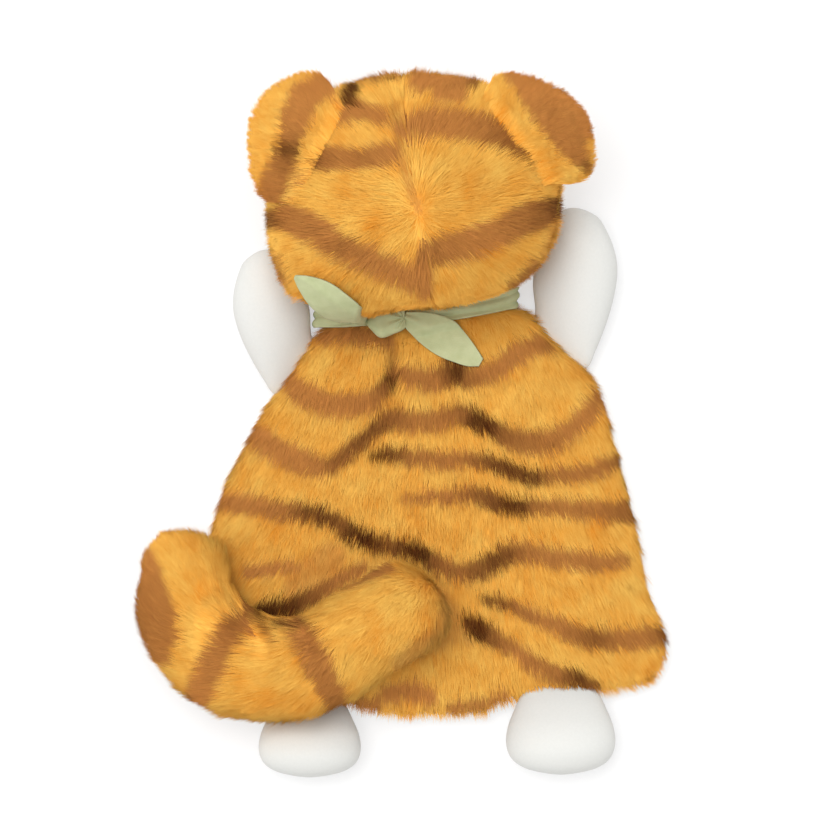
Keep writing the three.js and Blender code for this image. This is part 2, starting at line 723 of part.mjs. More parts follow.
function makeScarf() {
  addPiece('scarf_band', bandRing(0), sageCotton);
  const bigBody = pillow(bodyForm, stitchGap);
  addPiece('scarf_knot', knotBall(0).subtract(bandRing(stitchGap)).subtract(bigBody), sageCotton);
  const down = leafPrism(bodyPlace(leafDownStartShares), bodyPlace(leafDownEndShares));
  const downLeaf = clothOn(bodyForm, down.intersect(blockAbove(levelFrame(bodySeamZ), 0)));
  const clearOfKnot = knotBall(2 * hingeGap).add(bandRing(2 * hingeGap));
  addPiece('scarf_tail_down', downLeaf.subtract(clearOfKnot), sageCotton);
  const upLeaf = clothOn(headForm, leafPrism(headPlace(leafUpStartShares), headPlace(leafUpEndShares))
    .intersect(blockAbove(levelFrame(headSeamZ - headPanelRise), 0)));
  addPiece('scarf_tail_up', upLeaf, sageCotton);
}

makeBody();
makeHead();
makeFace();
makeEars();
makeLimbs();
makeTail();
makeScarf();

export default group;
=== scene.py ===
"""A plush tiger comforter lying on its face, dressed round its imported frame.

Lengths are millimetres until a mesh is made. X runs across the toy, Y from hem to crown, Z up.
"""

import json
from collections import namedtuple

import bmesh
import bpy
import numpy as np
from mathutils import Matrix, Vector


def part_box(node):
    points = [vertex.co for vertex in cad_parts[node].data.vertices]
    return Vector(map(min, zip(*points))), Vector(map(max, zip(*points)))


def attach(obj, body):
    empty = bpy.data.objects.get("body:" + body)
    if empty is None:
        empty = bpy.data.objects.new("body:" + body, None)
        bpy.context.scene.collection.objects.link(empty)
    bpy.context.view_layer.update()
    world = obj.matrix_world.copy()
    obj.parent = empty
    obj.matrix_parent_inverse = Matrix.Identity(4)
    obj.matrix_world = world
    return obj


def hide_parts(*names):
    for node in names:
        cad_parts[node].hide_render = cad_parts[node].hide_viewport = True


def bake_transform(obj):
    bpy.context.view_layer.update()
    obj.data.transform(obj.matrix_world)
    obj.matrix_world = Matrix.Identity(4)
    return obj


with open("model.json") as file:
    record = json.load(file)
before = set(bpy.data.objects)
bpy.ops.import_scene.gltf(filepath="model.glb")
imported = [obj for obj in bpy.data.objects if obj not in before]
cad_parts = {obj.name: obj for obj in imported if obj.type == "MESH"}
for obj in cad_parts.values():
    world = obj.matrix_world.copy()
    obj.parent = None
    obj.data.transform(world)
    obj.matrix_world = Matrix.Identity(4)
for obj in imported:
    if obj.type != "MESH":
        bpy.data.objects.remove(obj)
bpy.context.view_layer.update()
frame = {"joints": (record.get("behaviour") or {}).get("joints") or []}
random = np.random.default_rng(11)

MM = 0.001
UP = np.array([0.0, 0.0, 1.0])
FULL_TURN = 2 * np.pi
QUARTER = np.pi / 2
AROUND = (0, FULL_TURN)
UPPER_HALF = (0, np.pi)
LOWER_HALF = (np.pi, FULL_TURN)
UPPER_TURNS = (0, QUARTER)
LOWER_TURNS = (-QUARTER, 0)
ALL_TURNS = (-QUARTER, QUARTER)
SIDES = ("left", "right")

# A skin is a surface with its relief and its airbrush and painted shade. A pile is how plush grows: the depth
# of the cloth under its tips, then of its strands the length, how steeply they rise, their half width and how
# far they stray in radians, and the size of a lock and how far locks gather
Skin = namedtuple("Skin", "surface relief paint", defaults=(None, None))
Pile = namedtuple("Pile", "depth length rise half stray lock gather")

# The photograph: its scale and the pixel over the toy's origin
PICTURE_SIDE = 820
PIXEL = 0.42
ORIGIN_PIXEL = np.array([418, 515])

# Stuffed forms, as half sizes and shares of them
SEAM_Z = 8
BODY_HALF = np.array([103, 86])
BODY_MIDDLE = np.array([0, 2])
BODY_CROWN = (8.5, 11)
BODY_EDGE_SHARE = 0.62
BODY_OUTLINE_SHARES = np.array([
    [-0.388, 0.907], [-0.194, 0.983], [0.194, 1.006], [0.417, 1.0], [0.563, 0.849],
    [0.699, 0.686], [0.762, 0.535], [0.845, 0.198], [0.903, -0.116], [0.947, -0.384],
    [1.015, -0.64], [0.981, -0.779], [0.874, -0.849], [0.583, -0.901], [0.369, -0.927],
    [0.252, -0.985], [-0.078, -0.995], [-0.301, -0.953], [-0.65, -0.953], [-0.903, -0.884],
    [-0.99, -0.721], [-0.942, -0.407], [-0.85, -0.093], [-0.786, 0.151], [-0.685, 0.395],
    [-0.583, 0.587],
])
HEAD_HALF = np.array([62, 51.5])
HEAD_MIDDLE = np.array([-1, 133.6])
HEAD_SEAM_Z = 49
HEAD_CROWN = (41, 41)
HEAD_EDGE_SHARE = 0.91
HEAD_OUTLINE_SHARES = np.array([
    [0.016, 1.008], [0.42, 0.94], [0.69, 0.746], [0.887, 0.454], [0.984, 0.124],
    [0.984, -0.167], [0.935, -0.4], [0.823, -0.614], [0.645, -0.779], [0.419, -0.905],
    [0.145, -0.983], [-0.145, -1.01], [-0.435, -1.01], [-0.66, -0.98], [-0.806, -0.876],
    [-0.919, -0.691], [-0.992, -0.429], [-1.016, -0.148], [-0.984, 0.183], [-0.887, 0.474],
    [-0.694, 0.765], [-0.387, 0.95],
])
HEAD_SEAM_BEARING = np.radians(98)
PANEL_TURN = np.radians(4.5)

# Ears, paws and feet: sizes, then stations as shares of them, each with how far out it lies, its half length
# along the seam, its thickness and its rise
EAR_ROOT = 4
EAR_HALF_LENGTH = 30
EAR_HALF_THICKNESS = 5.6
EAR_DROOP = np.radians(-6)
EAR_REACH = {"left": 29, "right": 27.5}
EAR_SLANT = 4.5
EAR_BEND = 10
EAR_FRINGE = 1.2
EAR_FUR_INSET = 0.45
EAR_FUR_ROOT = 0.6
EAR_SHARES = np.array([
    [0, 0.94, 0.72, 0], [0.2, 1, 0.96, 0], [0.4, 0.95, 1, 0], [0.62, 0.78, 0.95, 0],
    [0.82, 0.53, 0.8, 0], [0.94, 0.3, 0.55, 0],
])
EAR_SLANT_SHARES = np.array([0, 0.4, 0.75, 1, 1.1, 1.15, 1.2])
ARM_ROOT = 4
ARM_HALF_THICKNESS = 12
ARM_RISE = 6.6
ARM_SIZES = {"left": (42, 19.2, -21), "right": (48, 21, 23)}
ARM_SHARES = np.array([
    [0, 0.75, 0.33, 0], [0.18, 0.92, 0.68, 0.33], [0.4, 1, 0.94, 0.56], [0.63, 0.96, 1, 0.68],
    [0.84, 0.76, 0.8, 0.7], [0.95, 0.42, 0.5, 0.72],
])
ARM_SLANT_SHARES = np.array([0, -0.28, -0.56, -0.8, -1, -1.1, -1.15])
LEG_ROOT = 5
LEG_HALF_THICKNESS = 15
LEG_RISE = 7.6
LEG_SIZES = {"left": (33, 21.5, 0), "right": (37.5, 23, 0)}
LEG_SHARES = np.array([
    [0, 0.66, 0.33, 0], [0.22, 0.82, 0.62, 0.5], [0.45, 0.97, 0.88, 0.85], [0.68, 1, 1, 1],
    [0.86, 0.84, 0.86, 1], [0.96, 0.5, 0.55, 1],
])

# Tail: the places of its middle line, as shares of the body's half sizes and of its own radius
TAIL_RADIUS = 20
TAIL_AXIS_Z = 39.3
TAIL_PATH_SHARES = np.array([
    [-0.06, -0.48, 0], [-0.19, -0.57, 0.02], [-0.36, -0.7, -0.06], [-0.56, -0.765, -0.2],
    [-0.77, -0.705, -0.4], [-0.91, -0.53, -0.5], [-0.94, -0.34, -0.52],
])
TAIL_SWELL_SHARES = np.array([1, 1.02, 1.06, 1.12, 1.18, 1.14, 0.98])

# How deep each cloth lies under the tips of its pile, how thick it is, and how deep the fibre lies inside
LONG_DEPTH = 2.7
HEAD_DEPTH = 4.2
TAIL_DEPTH = 2.9
EAR_DEPTH = 2.2
CREAM_DEPTH = 2.6
SHORT_DEPTH = 0.9
MINKY_DEPTH = 0.2
NECK_DEPTH = 2.5
MUZZLE_DEPTH = 2.4
BACKING = 1.6
MINKY_THICKNESS = 1.4
EAR_BACKING = 1
WADDING_DEPTH = 7.6
HEAD_WADDING_DEPTH = 9.1
LIMB_WADDING_DEPTH = 4.2
LIMB_WADDING_SKIN = 0.6
WADDING_SKIN = 1
LOWEST = 0.25
FUR_GIVE = 0.8
ROOT_SUNK = 0.5

# Airbrushed stripes and painted shade, drawn over the photograph in its pixels: place, half width,
# depth of the brown
BODY_STRIPES = [
    [[318, 338, 8, .2], [350, 336, 9, .3], [386, 342, 8, .35]],
    [[288, 384, 8, .15], [300, 396, 11, .2], [330, 408, 11, .2], [365, 406, 10, .3], [381, 396, 8, .6],
     [391, 380, 5, .95]],
    [[394, 376, 6, .5], [409, 380, 9, .35], [434, 383, 10, .35], [455, 375, 11, .95], [472, 382, 8, .5],
     [502, 369, 9, .2], [521, 355, 9, .2], [540, 346, 8, .3], [552, 352, 5, .5]],
    [[240, 428, 9, .25], [265, 446, 12, .2], [293, 461, 11, .2], [318, 470, 9, .35], [332, 467, 7, .6],
     [352, 452, 7, .75], [374, 433, 7, .8], [392, 420, 9, .6], [415, 425, 9, .4], [440, 423, 9, .4],
     [460, 416, 9, .6], [474, 422, 9, .95], [490, 430, 8, .95], [509, 440, 9, .6], [530, 445, 11, .45],
     [552, 445, 11, .4], [570, 434, 9, .25], [588, 419, 9, .25], [602, 402, 8, .35]],
    [[373, 459, 3, 1], [390, 456, 6, .85], [415, 461, 7, .5], [440, 463, 7, .4], [465, 463, 7, .45],
     [487, 465, 7, .8], [506, 471, 7, .9], [521, 477, 7, .9], [535, 480, 6, .9], [556, 478, 6, .45],
     [581, 477, 7, .4], [600, 472, 7, .4], [618, 463, 6, .6]],
    [[404, 501, 2, .4], [427, 500, 4, .35], [456, 499, 6, .45], [477, 497, 7, .7], [492, 503, 8, .8],
     [508, 509, 8, .95], [524, 510, 8, .9], [540, 510, 7, .55], [566, 511, 7, .35], [598, 514, 9, .45],
     [632, 514, 9, .6]],
    [[214, 504, 8, .3], [252, 508, 9, .25], [281, 514, 8, .45], [306, 516, 8, .85], [324, 520, 7, .9],
     [341, 528, 8, .8], [353, 538, 9, 1], [369, 546, 8, 1], [390, 549, 7, .8], [409, 552, 8, 1],
     [423, 558, 8, 1], [440, 570, 8, .6], [459, 576, 9, .6], [481, 573, 9, .75], [494, 566, 9, .85],
     [507, 558, 9, .8], [524, 555, 9, .5], [549, 560, 8, .35], [581, 564, 8, .35], [606, 566, 7, .35],
     [626, 562, 5, .4]],
    [[246, 575, 5, .15], [271, 571, 5, .15], [298, 569, 3, .1]],
    # Painted shade, not a stripe: the shadow along the tail's upper edge, darkest inside its bend
    [[262, 614, 8, 1], [290, 610, 8, .95], [315, 597, 7, .6], [338, 583, 6, .4], [362, 571, 5, .3]],
    [[485, 602, 3, .9], [506, 607, 5, .75], [521, 613, 5, .5], [537, 621, 6, .35], [556, 628, 7, .35],
     [574, 636, 8, .5], [596, 642, 9, .7], [621, 643, 9, .4], [643, 642, 9, .35], [668, 637, 9, .7]],
    [[470, 626, 8, .9], [478, 632, 10, 1], [496, 642, 7, .7], [518, 655, 6, .35], [534, 668, 8, .4],
     [556, 677, 8, .5], [578, 683, 8, .9], [595, 690, 6, .8]],
    [[388, 697, 8, .15], [409, 694, 9, .2], [428, 700, 8, .15]],
    [[338, 706, 6, .2], [375, 708, 6, .2]],
    [[452, 711, 4, .35], [480, 708, 4, .35], [506, 698, 3, .2]],
]
# Painted shade at half cover: beside and under the tail's base, along the pleat, and above the tail
BODY_PAINTED_SHADE = [
    [[440, 600, 7, .1], [456, 628, 9, .2], [470, 640, 7, .2]],
    [[392, 345, 3, .5], [392, 372, 3, .6]],
    [[450, 640, 7, .1], [420, 652, 6, .1], [390, 662, 5, .1]],
    [[330, 560, 14, 0], [300, 590, 16, 0]],
]
HEAD_STRIPES = [
    [[303, 158, 9, .8], [312, 160, 11, .75], [325, 161, 11, .5], [342, 161, 10, .35], [360, 161, 10, .5],
     [374, 159, 10, .35], [392, 153, 8, .3]],
    [[322, 118, 5, .15], [344, 117, 8, .25], [361, 113, 8, .3], [379, 118, 8, .3]],
    [[352, 90, 6, 1], [348, 104, 7, .95], [356, 112, 6, .5]],
    [[400, 131, 8, .3], [415, 124, 11, .3], [434, 124, 13, .25], [458, 127, 14, .25], [477, 130, 14, .35],
     [495, 134, 12, .5], [508, 141, 10, .6], [520, 149, 7, .65], [533, 157, 3, .85], [542, 166, 2, .9]],
    [[420, 84, 9, .15], [440, 82, 11, .25], [458, 83, 10, .35], [474, 82, 5, .7]],
    [[440, 96, 7, .1], [460, 98, 6, .1]],
    [[360, 80, 4, .7], [385, 74, 3, .6], [415, 72, 3, .4], [445, 73, 3, .5], [474, 79, 3, .7]],
    [[266, 222, 7, .9], [284, 219, 12, .4], [302, 227, 13, .35], [321, 239, 13, .35], [336, 251, 12, .5],
     [352, 258, 12, .35], [373, 267, 11, .25], [392, 277, 11, .2], [410, 284, 10, .2]],
    [[557, 209, 9, .9], [541, 217, 13, .6], [521, 224, 13, .45], [500, 237, 13, .25], [477, 246, 14, .25],
     [454, 253, 14, .35], [436, 258, 11, .5], [426, 265, 9, .5], [421, 280, 9, .2], [424, 294, 7, .2]],
    [[270, 262, 6, .5], [280, 284, 5, .4]],
    [[536, 268, 5, .5], [524, 282, 4, .6], [512, 288, 3, .6]],
]
# Painted shade at half cover: in the seam's groove from the whorl to the crown, and along the head's lower
# right edge
HEAD_PAINTED_SHADE = [
    [[394, 108, 4, .5], [397, 135, 4, .7], [401, 160, 3, .4], [408, 188, 3, .2], [417, 212, 4, .2]],
    [[560, 230, 8, .2], [548, 262, 8, .3]],
]
EAR_STRIPES = {
    "left": [
        [[343, 84, 7, .3], [322, 89, 12, .15], [305, 101, 14, .2], [297, 118, 14, .25], [291, 137, 11, .4],
         [288, 152, 10, .85], [283, 168, 11, .5], [276, 184, 12, .3], [270, 200, 11, .35]],
    ],
    "right": [
        [[512, 76, 8, .05], [530, 91, 14, .15], [545, 107, 18, .3], [559, 126, 17, .3], [570, 146, 14, .35],
         [578, 160, 8, .4]],
        [[560, 95, 13, .1], [576, 112, 12, .15], [585, 132, 9, .2]],
        [[583, 166, 4, .7], [586, 172, 3, .7]],
    ],
}
TAIL_STRIPES = [
    [[292, 620, 8, .5], [298, 632, 11, .35], [310, 650, 12, .35], [321, 671, 12, .3], [331, 692, 12, .3],
     [340, 712, 10, .3]],
    [[248, 600, 8, .6], [240, 610, 11, .5], [231, 624, 12, .5], [219, 643, 13, .4], [209, 667, 13, .3],
     [200, 690, 11, .2], [196, 706, 9, .2]],
    [[150, 556, 5, .2], [151, 575, 11, .3], [152, 595, 17, .35], [154, 615, 21, .4], [156, 635, 19, .4],
     [158, 650, 12, .35], [163, 660, 4, .3]],
    [[340, 582, 6, .2], [362, 572, 8, .25], [385, 566, 5, .2]],
    # Painted shade, not stripes: along the first fold inside the tail's bend, and in the pit beside it
    [[246, 596, 1, 1], [258, 614, 2, .9], [272, 640, 0, .6]],
    [[276, 620, 2, .9], [292, 622, 3, .8], [303, 620, 2, .7]],
]
# Painted shade at half cover along the right side of the tail's base, where it lies on the back
TAIL_PAINTED_SHADE = [
    [[444, 585, 5, .2], [450, 605, 5, .2], [442, 630, 6, .3], [400, 660, 7, .3]],
]
FACE_STRIPES = [
    [[418, 84, 3, .3], [418, 106, 5, .6], [418, 122, 2, .5]],
    [[398, 86, 2, .3], [401, 104, 4, .6], [404, 116, 1, .5]],
    [[438, 86, 2, .3], [435, 104, 4, .6], [432, 116, 1, .5]],
    [[275, 190, 3, .3], [296, 196, 5, .5], [316, 206, 1, .5]],
    [[272, 225, 3, .3], [294, 226, 5, .5], [314, 230, 1, .5]],
    [[556, 190, 3, .3], [535, 196, 5, .5], [515, 206, 1, .5]],
    [[560, 225, 3, .3], [538, 226, 5, .5], [518, 230, 1, .5]],
]

# Muzzle, embroidery and neck
MUZZLE_HALFS = (28, 20, 17)
MUZZLE_CLOTH_DEPTH = 2
MUZZLE_BACKING = 1
THREAD_THICKNESS = 0.6
NECK_START = np.array([0, 88, 8.5])
NECK_LENGTH = 22
NECK_HALFS = (26, 6)
NECK_BACKING = 1

# Floor, light and camera: the height at which the picture's scale holds, and lights that match its shadow
FLOOR_HALF = 3000
SHADOW_SHARE = 0.45
SKY_LIGHT = 0.72
SUN_LIGHT = 2.25
SUN_ANGLE = np.radians(40)
SUN_WAY = (0.18, -0.2, -1.0)
CAMERA_HEIGHT = 4000
SCALE_HEIGHT = 20
CAMERA_SENSOR = 36

# How the airbrush and the painted shade spread over the pile, and how the pile takes the light
SOFT_EDGE = 1.8
PAINT_SPREAD = 0.8
PAINT_DRIFT = 0.6
PAINTED_SHARE = 0.8
DARKENING = 1.4
OWN_SHADE = 0.35
GLOW = 0.35
EAR_GLOW = 1.6
PAINTED_SHADE_COVER = 0.5
CLOTH_TONE = 0.5
# Tone at a strand's root corners and tip: paler tips as on the toy, darker roots as painted shade in the pile
TIPPING_AND_ROOT_SHADE = [0.42, 0.42, 0.42, 0.7]

# How the plush is combed and gathers: widths in mm
WHORL = np.array([0.8, 126.0, 90.0])
WHORL_REACH = 9
PARTING_WIDTHS = (3, 14)
FACE_PARTING = 6
MUZZLE_PARTING = 14
STRAY_SIZE = 23
TUFT_SHARE = 2.5

# Swells and creases of the stuffed forms: a swell's size and height, and a crease's height and width
BODY_SWELL = (62, 0.9)
HEAD_SWELL = (34, 0.7)
TAIL_SWELL = (30, 1.3)
FIBRE_SWELL = (14, 0.8)
SCARF_RAGGED = (9, 1.8)
PLEAT_DIP = (3.2, 2.6)
PLEAT_PUFF = (1.6, 5)
PLEAT_PUFF_ASIDE = 8
HEAD_SEAM_DIP = (2.2, 3.2)
TAIL_CREASE_DIP = (4.5, 2.8)
TAIL_CREASE_PUFF = (1.2, 4)
TAIL_PUFF_ASIDE = 7
BODY_BLEND, HEAD_BLEND, TAIL_BLEND = 4, 14, 8


def plan(pixels):
    """Plan places of pixels of the photograph, in mm: right of and above the origin's pixel."""
    return (np.asarray(pixels, float) - ORIGIN_PIXEL) * [PIXEL, -PIXEL]


def stripes_in_mm(stripes):
    """Each stripe's rows with its places and half widths in mm."""
    tables = (np.array(stripe, float) for stripe in stripes)
    return [np.column_stack([plan(rows[:, :2]), rows[:, 2] * PIXEL, rows[:, 3]]) for rows in tables]


def unit(vectors):
    """The vectors at length one."""
    return vectors / np.maximum(np.linalg.norm(vectors, axis=-1, keepdims=True), 1e-9)


def smooth(share):
    """An S curve from 0 to 1: three squares less two cubes of the share."""
    share = np.clip(share, 0, 1)
    return share * share * (3 - 2 * share)


RIPPLE_WAYS = unit(np.random.default_rng(3).normal(size=(5, 3)))
RIPPLE_STARTS = np.random.default_rng(4).uniform(0, FULL_TURN, 5)


def ripple(points, size, height=1.0):
    """Smooth noise up to about its height: the mean of five slanting plane waves, each about size long."""
    waves = points @ RIPPLE_WAYS.T * (FULL_TURN / size) + RIPPLE_STARTS
    return height * (np.sin(waves + 1.7 * np.sin(waves[..., ::-1] * 0.6)).mean(-1) * 1.8)


def ridge(gap, height, width):
    """A rounded ridge along a line: its height where the gap is 0, fading over its width."""
    return height * np.exp(-(gap / width) ** 2)


def through(knots, values, t):
    """A smooth line through values at knots: a cubic on each span, with the values' slopes at both its
    ends."""
    knots = np.asarray(knots, float)
    values = np.asarray(values, float)
    slopes = np.gradient(values, knots, axis=0)
    k = np.clip(np.searchsorted(knots, t) - 1, 0, len(knots) - 2)
    span = knots[k + 1] - knots[k]
    s = np.clip((t - knots[k]) / span, 0, 1)
    if values.ndim > 1:
        span, s = span[..., None], s[..., None]
    rise = s * s * (3 - 2 * s)
    return (values[k] * (1 - rise) + values[k + 1] * rise
            + span * (slopes[k] * (s - 2 * s * s + s ** 3) + slopes[k + 1] * (s ** 3 - s * s)))


def rim_table(shares, half):
    """Bearing and distance from the middle of a fine closed line through the outline's points."""
    count = len(shares)
    looped = np.vstack([shares[-3:], shares, shares[:4]]) * half
    line = through(np.arange(len(looped)), looped, np.linspace(3, 3 + count, 24 * count, endpoint=False))
    bearing = np.mod(np.arctan2(line[:, 1], line[:, 0]), FULL_TURN)
    order = np.argsort(bearing)
    return bearing[order], np.hypot(line[:, 0], line[:, 1])[order]


class Pillow:
    """A stuffed form with an outline at its seam and crowned sides.

    At a bearing and a turn from -90 to 90 degrees, the point lies cos(turn)^edge of the rim's distance from
    the middle, and sin(turn)^edge of the crown above or below the seam. Growing adds to both distances.
    """

    def __init__(self, shares, half, middle, seam_z, crown, edge):
        self.rim = rim_table(shares, half)
        self.middle, self.seam_z, self.crown, self.edge = middle, seam_z, crown, edge

    def reach(self, bearing):
        return np.interp(np.mod(bearing, FULL_TURN), *self.rim, period=FULL_TURN)

    def __call__(self, bearing, turn, grow=0.0):
        out = (self.reach(bearing) + grow) * np.abs(np.cos(turn)) ** self.edge
        lift = np.sign(turn) * np.abs(np.sin(turn)) ** self.edge
        crown = np.where(turn < 0, self.crown[0], self.crown[1]) + grow
        return np.stack([self.middle[0] + out * np.cos(bearing), self.middle[1] + out * np.sin(bearing),
                         self.seam_z + crown * lift], -1)

    def height(self, places, grow=0.0):
        """Height of the upper side over plan places: the crown times (1 - share^(2/edge))^(edge/2)."""
        out = places[..., :2] - self.middle
        reach = self.reach(np.arctan2(out[..., 1], out[..., 0])) + grow
        share = np.clip(np.hypot(out[..., 0], out[..., 1]) / reach, 0, 1)
        return self.seam_z + (self.crown[1] + grow) * (1 - share ** (2 / self.edge)) ** (self.edge / 2)


class Limb:
    """A flat stuffed limb sewn on along a seam: ellipses that swell and taper outward.

    At a bearing round the ellipse and a turn from the root to 90 degrees, the point lies sin(turn) of the
    reach outward, with half length, thickness, rise and slant from smooth lines through the stations. The
    bend lowers it by the square of its distance from the middle of the seam.
    """

    def __init__(self, place, axis, droop, root, reach, half, slant, thickness, rise, shares, slant_shares,
                 bend=0):
        self.place = np.asarray(place, float)
        self.along = unit(np.asarray(axis, float))
        level = np.cross(UP, self.along)
        self.outward = level * np.cos(droop) + UP * np.sin(droop)
        self.through = np.cross(self.along, self.outward)
        self.start = -np.arcsin(root / reach)
        self.reach = reach
        self.knots = np.concatenate([[self.start], np.arcsin(shares[:, 0]), [QUARTER]])
        self.halfs = np.concatenate([[shares[0, 1] * 0.9], shares[:, 1], [0]]) * half
        self.thicks = np.concatenate([[0], [root], shares[1:, 2] * thickness, [0]])
        self.rises = np.concatenate([[0], shares[:, 3], shares[-1:, 3]]) * rise
        self.slants = np.concatenate([[0], slant_shares]) * slant
        self.bend, self.longest = bend, self.halfs.max()

    def __call__(self, bearing, turn, grow=0.0):
        half = np.maximum(through(self.knots, self.halfs, turn) + grow, 0)
        thick = np.maximum(through(self.knots, self.thicks, turn) + grow, 0)
        closing = np.sqrt(np.clip((QUARTER - turn) / 0.35, 0, 1))
        across = through(self.knots, self.slants, turn) + half * closing ** 0.5 * np.cos(bearing)
        over = through(self.knots, self.rises, turn) + thick * closing ** 0.5 * np.sin(bearing)
        over = over - self.bend * (across / self.longest) ** 2
        out = (self.reach + grow) * np.sin(turn)
        return (self.place + across[..., None] * self.along + out[..., None] * self.outward
                + over[..., None] * self.through)


class Tube:
    """A stuffed tube: circles square to a smooth path, with a half ball past each end.

    Along runs from 0 to 1 on the path, from -1 to 0 round the ball at its start, and from 1 to 2 round that
    at its end; the radius swells along the way.
    """

    def __init__(self, path, radii):
        self.path, self.radii = path, radii
        self.knots = np.linspace(0, 1, len(path))

    def axis(self, along):
        inside = np.clip(along, 0, 1)
        middle = through(self.knots, self.path, inside)
        step = 0.01
        ahead = through(self.knots, self.path, np.minimum(inside + step, 1))
        behind = through(self.knots, self.path, np.maximum(inside - step, 0))
        return middle, unit(ahead - behind), through(self.knots, self.radii, inside)

    def __call__(self, bearing, along, grow=0.0):
        middle, tangent, radius = self.axis(along)
        radius = radius + grow
        past = (along - np.clip(along, 0, 1)) * QUARTER
        side = unit(np.cross(tangent, UP))
        over = np.cross(side, tangent)
        ring = side * np.cos(bearing)[..., None] + over * np.sin(bearing)[..., None]
        ahead, out = (radius * np.sin(past))[..., None], (radius * np.cos(past))[..., None]
        return middle + tangent * ahead + ring * out


class Ball:
    """An ellipsoid: bearings round it and turns from -90 to 90 degrees, grown by the same length all
    round."""

    def __init__(self, middle, halfs):
        self.middle, self.halfs = np.asarray(middle, float), np.asarray(halfs, float)

    def __call__(self, bearing, turn, grow=0.0):
        way = np.stack([np.cos(bearing) * np.cos(turn), np.sin(bearing) * np.cos(turn), np.sin(turn)], -1)
        return self.middle + way * (self.halfs + grow)


def above_floor(points):
    """The points pressed up to just above the floor, as the toy's weight presses them."""
    return np.concatenate([points[..., :2], np.maximum(points[..., 2:], LOWEST)], -1)


def no_higher(points, top):
    """The points, pressed down to a height for each: what lies over it by much more than the fur's give
    ends up on it, what lies far under it stays, and between them the points keep their order."""
    over = np.clip((points[..., 2] - top) / FUR_GIVE, -30, 30)
    return points - UP * (FUR_GIVE * np.log1p(np.exp(over)))[..., None]


def laid(skin, u, v, grow=0.0):
    """Points of a skin: places on its surface, with its relief."""
    points = skin.surface(u, v, grow)
    return skin.relief(points) if skin.relief else points


def outward_normal(skin, u, v):
    """Normals of a skin: the cross product of two small steps, turned to the side that growing moves to."""
    step = 1e-3
    across = laid(skin, u + step, v) - laid(skin, u - step, v)
    up = laid(skin, u, v + step) - laid(skin, u, v - step)
    normal = unit(np.cross(across, up))
    outward = laid(skin, u, v, 1.0) - laid(skin, u, v)
    return normal * np.sign((normal * outward).sum(-1, keepdims=True) + 1e-12)


def scatter(surface, patch, grow, count):
    """Random places on a patch of a surface, spread evenly: cells of a grid are drawn by their areas, and
    each place lies at random in its cell."""
    (u0, u1), (v0, v1) = patch
    cells = 160
    du, dv = (u1 - u0) / cells, (v1 - v0) / cells
    u, v = np.meshgrid(u0 + du * (np.arange(cells) + 0.5), v0 + dv * (np.arange(cells) + 0.5))
    u, v = u.ravel(), v.ravel()
    across = surface(u + du / 2, v, grow) - surface(u - du / 2, v, grow)
    up = surface(u, v + dv / 2.01, grow) - surface(u, v - dv / 2.01, grow)
    area = np.linalg.norm(np.cross(across, up), axis=-1)
    drawn = random.choice(cells * cells, count, p=area / area.sum())
    u = u[drawn] + du * random.uniform(-0.5, 0.5, count)
    return u, v[drawn] + dv * random.uniform(-0.49, 0.49, count)


def painted(points, stripes, faint=()):
    """Airbrush and painted shade on plan places: the nearest place along each span gives a half width and a
    depth, and the paint fades over a soft edge on either side of that half width. The faint tables are
    painted shade, laid at a lower cover. Returns its cover and how dark it is."""
    cover, depth = np.zeros(len(points)), np.zeros(len(points))
    for tables, strength in ((stripes, 1.0), (faint, PAINTED_SHADE_COVER)):
        for rows in tables:
            for start, end in zip(rows[:-1], rows[1:]):
                step = end[:2] - start[:2]
                along = np.clip((points[:, :2] - start[:2]) @ step / (step @ step), 0, 1)
                at = start + along[:, None] * (end - start)
                gap = np.hypot(*(points[:, :2] - at[:, :2]).T) - at[:, 2] - PAINT_SPREAD
                here = strength * smooth(0.5 - gap / (2 * SOFT_EDGE))
                deeper = here > cover
                cover = np.where(deeper, here, cover)
                depth = np.where(deeper, at[:, 3], depth)
    return cover, depth ** DARKENING


def colour_of(code):
    """Linear red, green, blue and one, from an sRGB hex code."""
    srgb = np.array([int(code[i:i + 2], 16) for i in (1, 3, 5)]) / 255
    linear = np.where(srgb <= 0.04045, srgb / 12.92, ((srgb + 0.055) / 1.055) ** 2.4)
    return (*linear, 1.0)


def add_node(tree, kind, values=(), links=(), **settings):
    """One node of a material, with its settings, its sockets' values and its links."""
    node = tree.nodes.new(kind)
    for key, value in settings.items():
        setattr(node, key, value)
    for socket, value in dict(values).items():
        node.inputs[socket].default_value = value
    for socket, source in dict(links).items():
        tree.links.new(source, node.inputs[socket])
    return node


def fed_node(tree, kind, inputs, **settings):
    """One node of a material, with each input either a fixed value or another node's socket."""
    linked = {key: value for key, value in inputs.items() if isinstance(value, bpy.types.NodeSocket)}
    fixed = {key: value for key, value in inputs.items() if key not in linked}
    return add_node(tree, kind, fixed, linked, **settings)


def worked_out(tree, operation, *terms, clamp=False):
    """Arithmetic in a material, on fixed numbers and sockets."""
    terms = dict(enumerate(terms))
    return fed_node(tree, "ShaderNodeMath", terms, operation=operation, use_clamp=clamp).outputs[0]


def mixed(tree, share, first, second):
    """A colour between two, each a hex code or a socket."""
    colours = {key: colour_of(colour) if isinstance(colour, str) else colour
               for key, colour in ((6, first), (7, second))}
    return fed_node(tree, "ShaderNodeMix", {"Factor": share, **colours}, data_type="RGBA").outputs[2]


def grain(tree, size, detail, roughness=0.5):
    """Noise that is fixed to the piece, in lumps of a size in mm."""
    place = add_node(tree, "ShaderNodeTexCoord")
    values = {"Scale": 1 / (size * MM), "Detail": detail, "Roughness": roughness}
    return add_node(tree, "ShaderNodeTexNoise", values, {"Vector": place.outputs["Object"]}).outputs["Fac"]


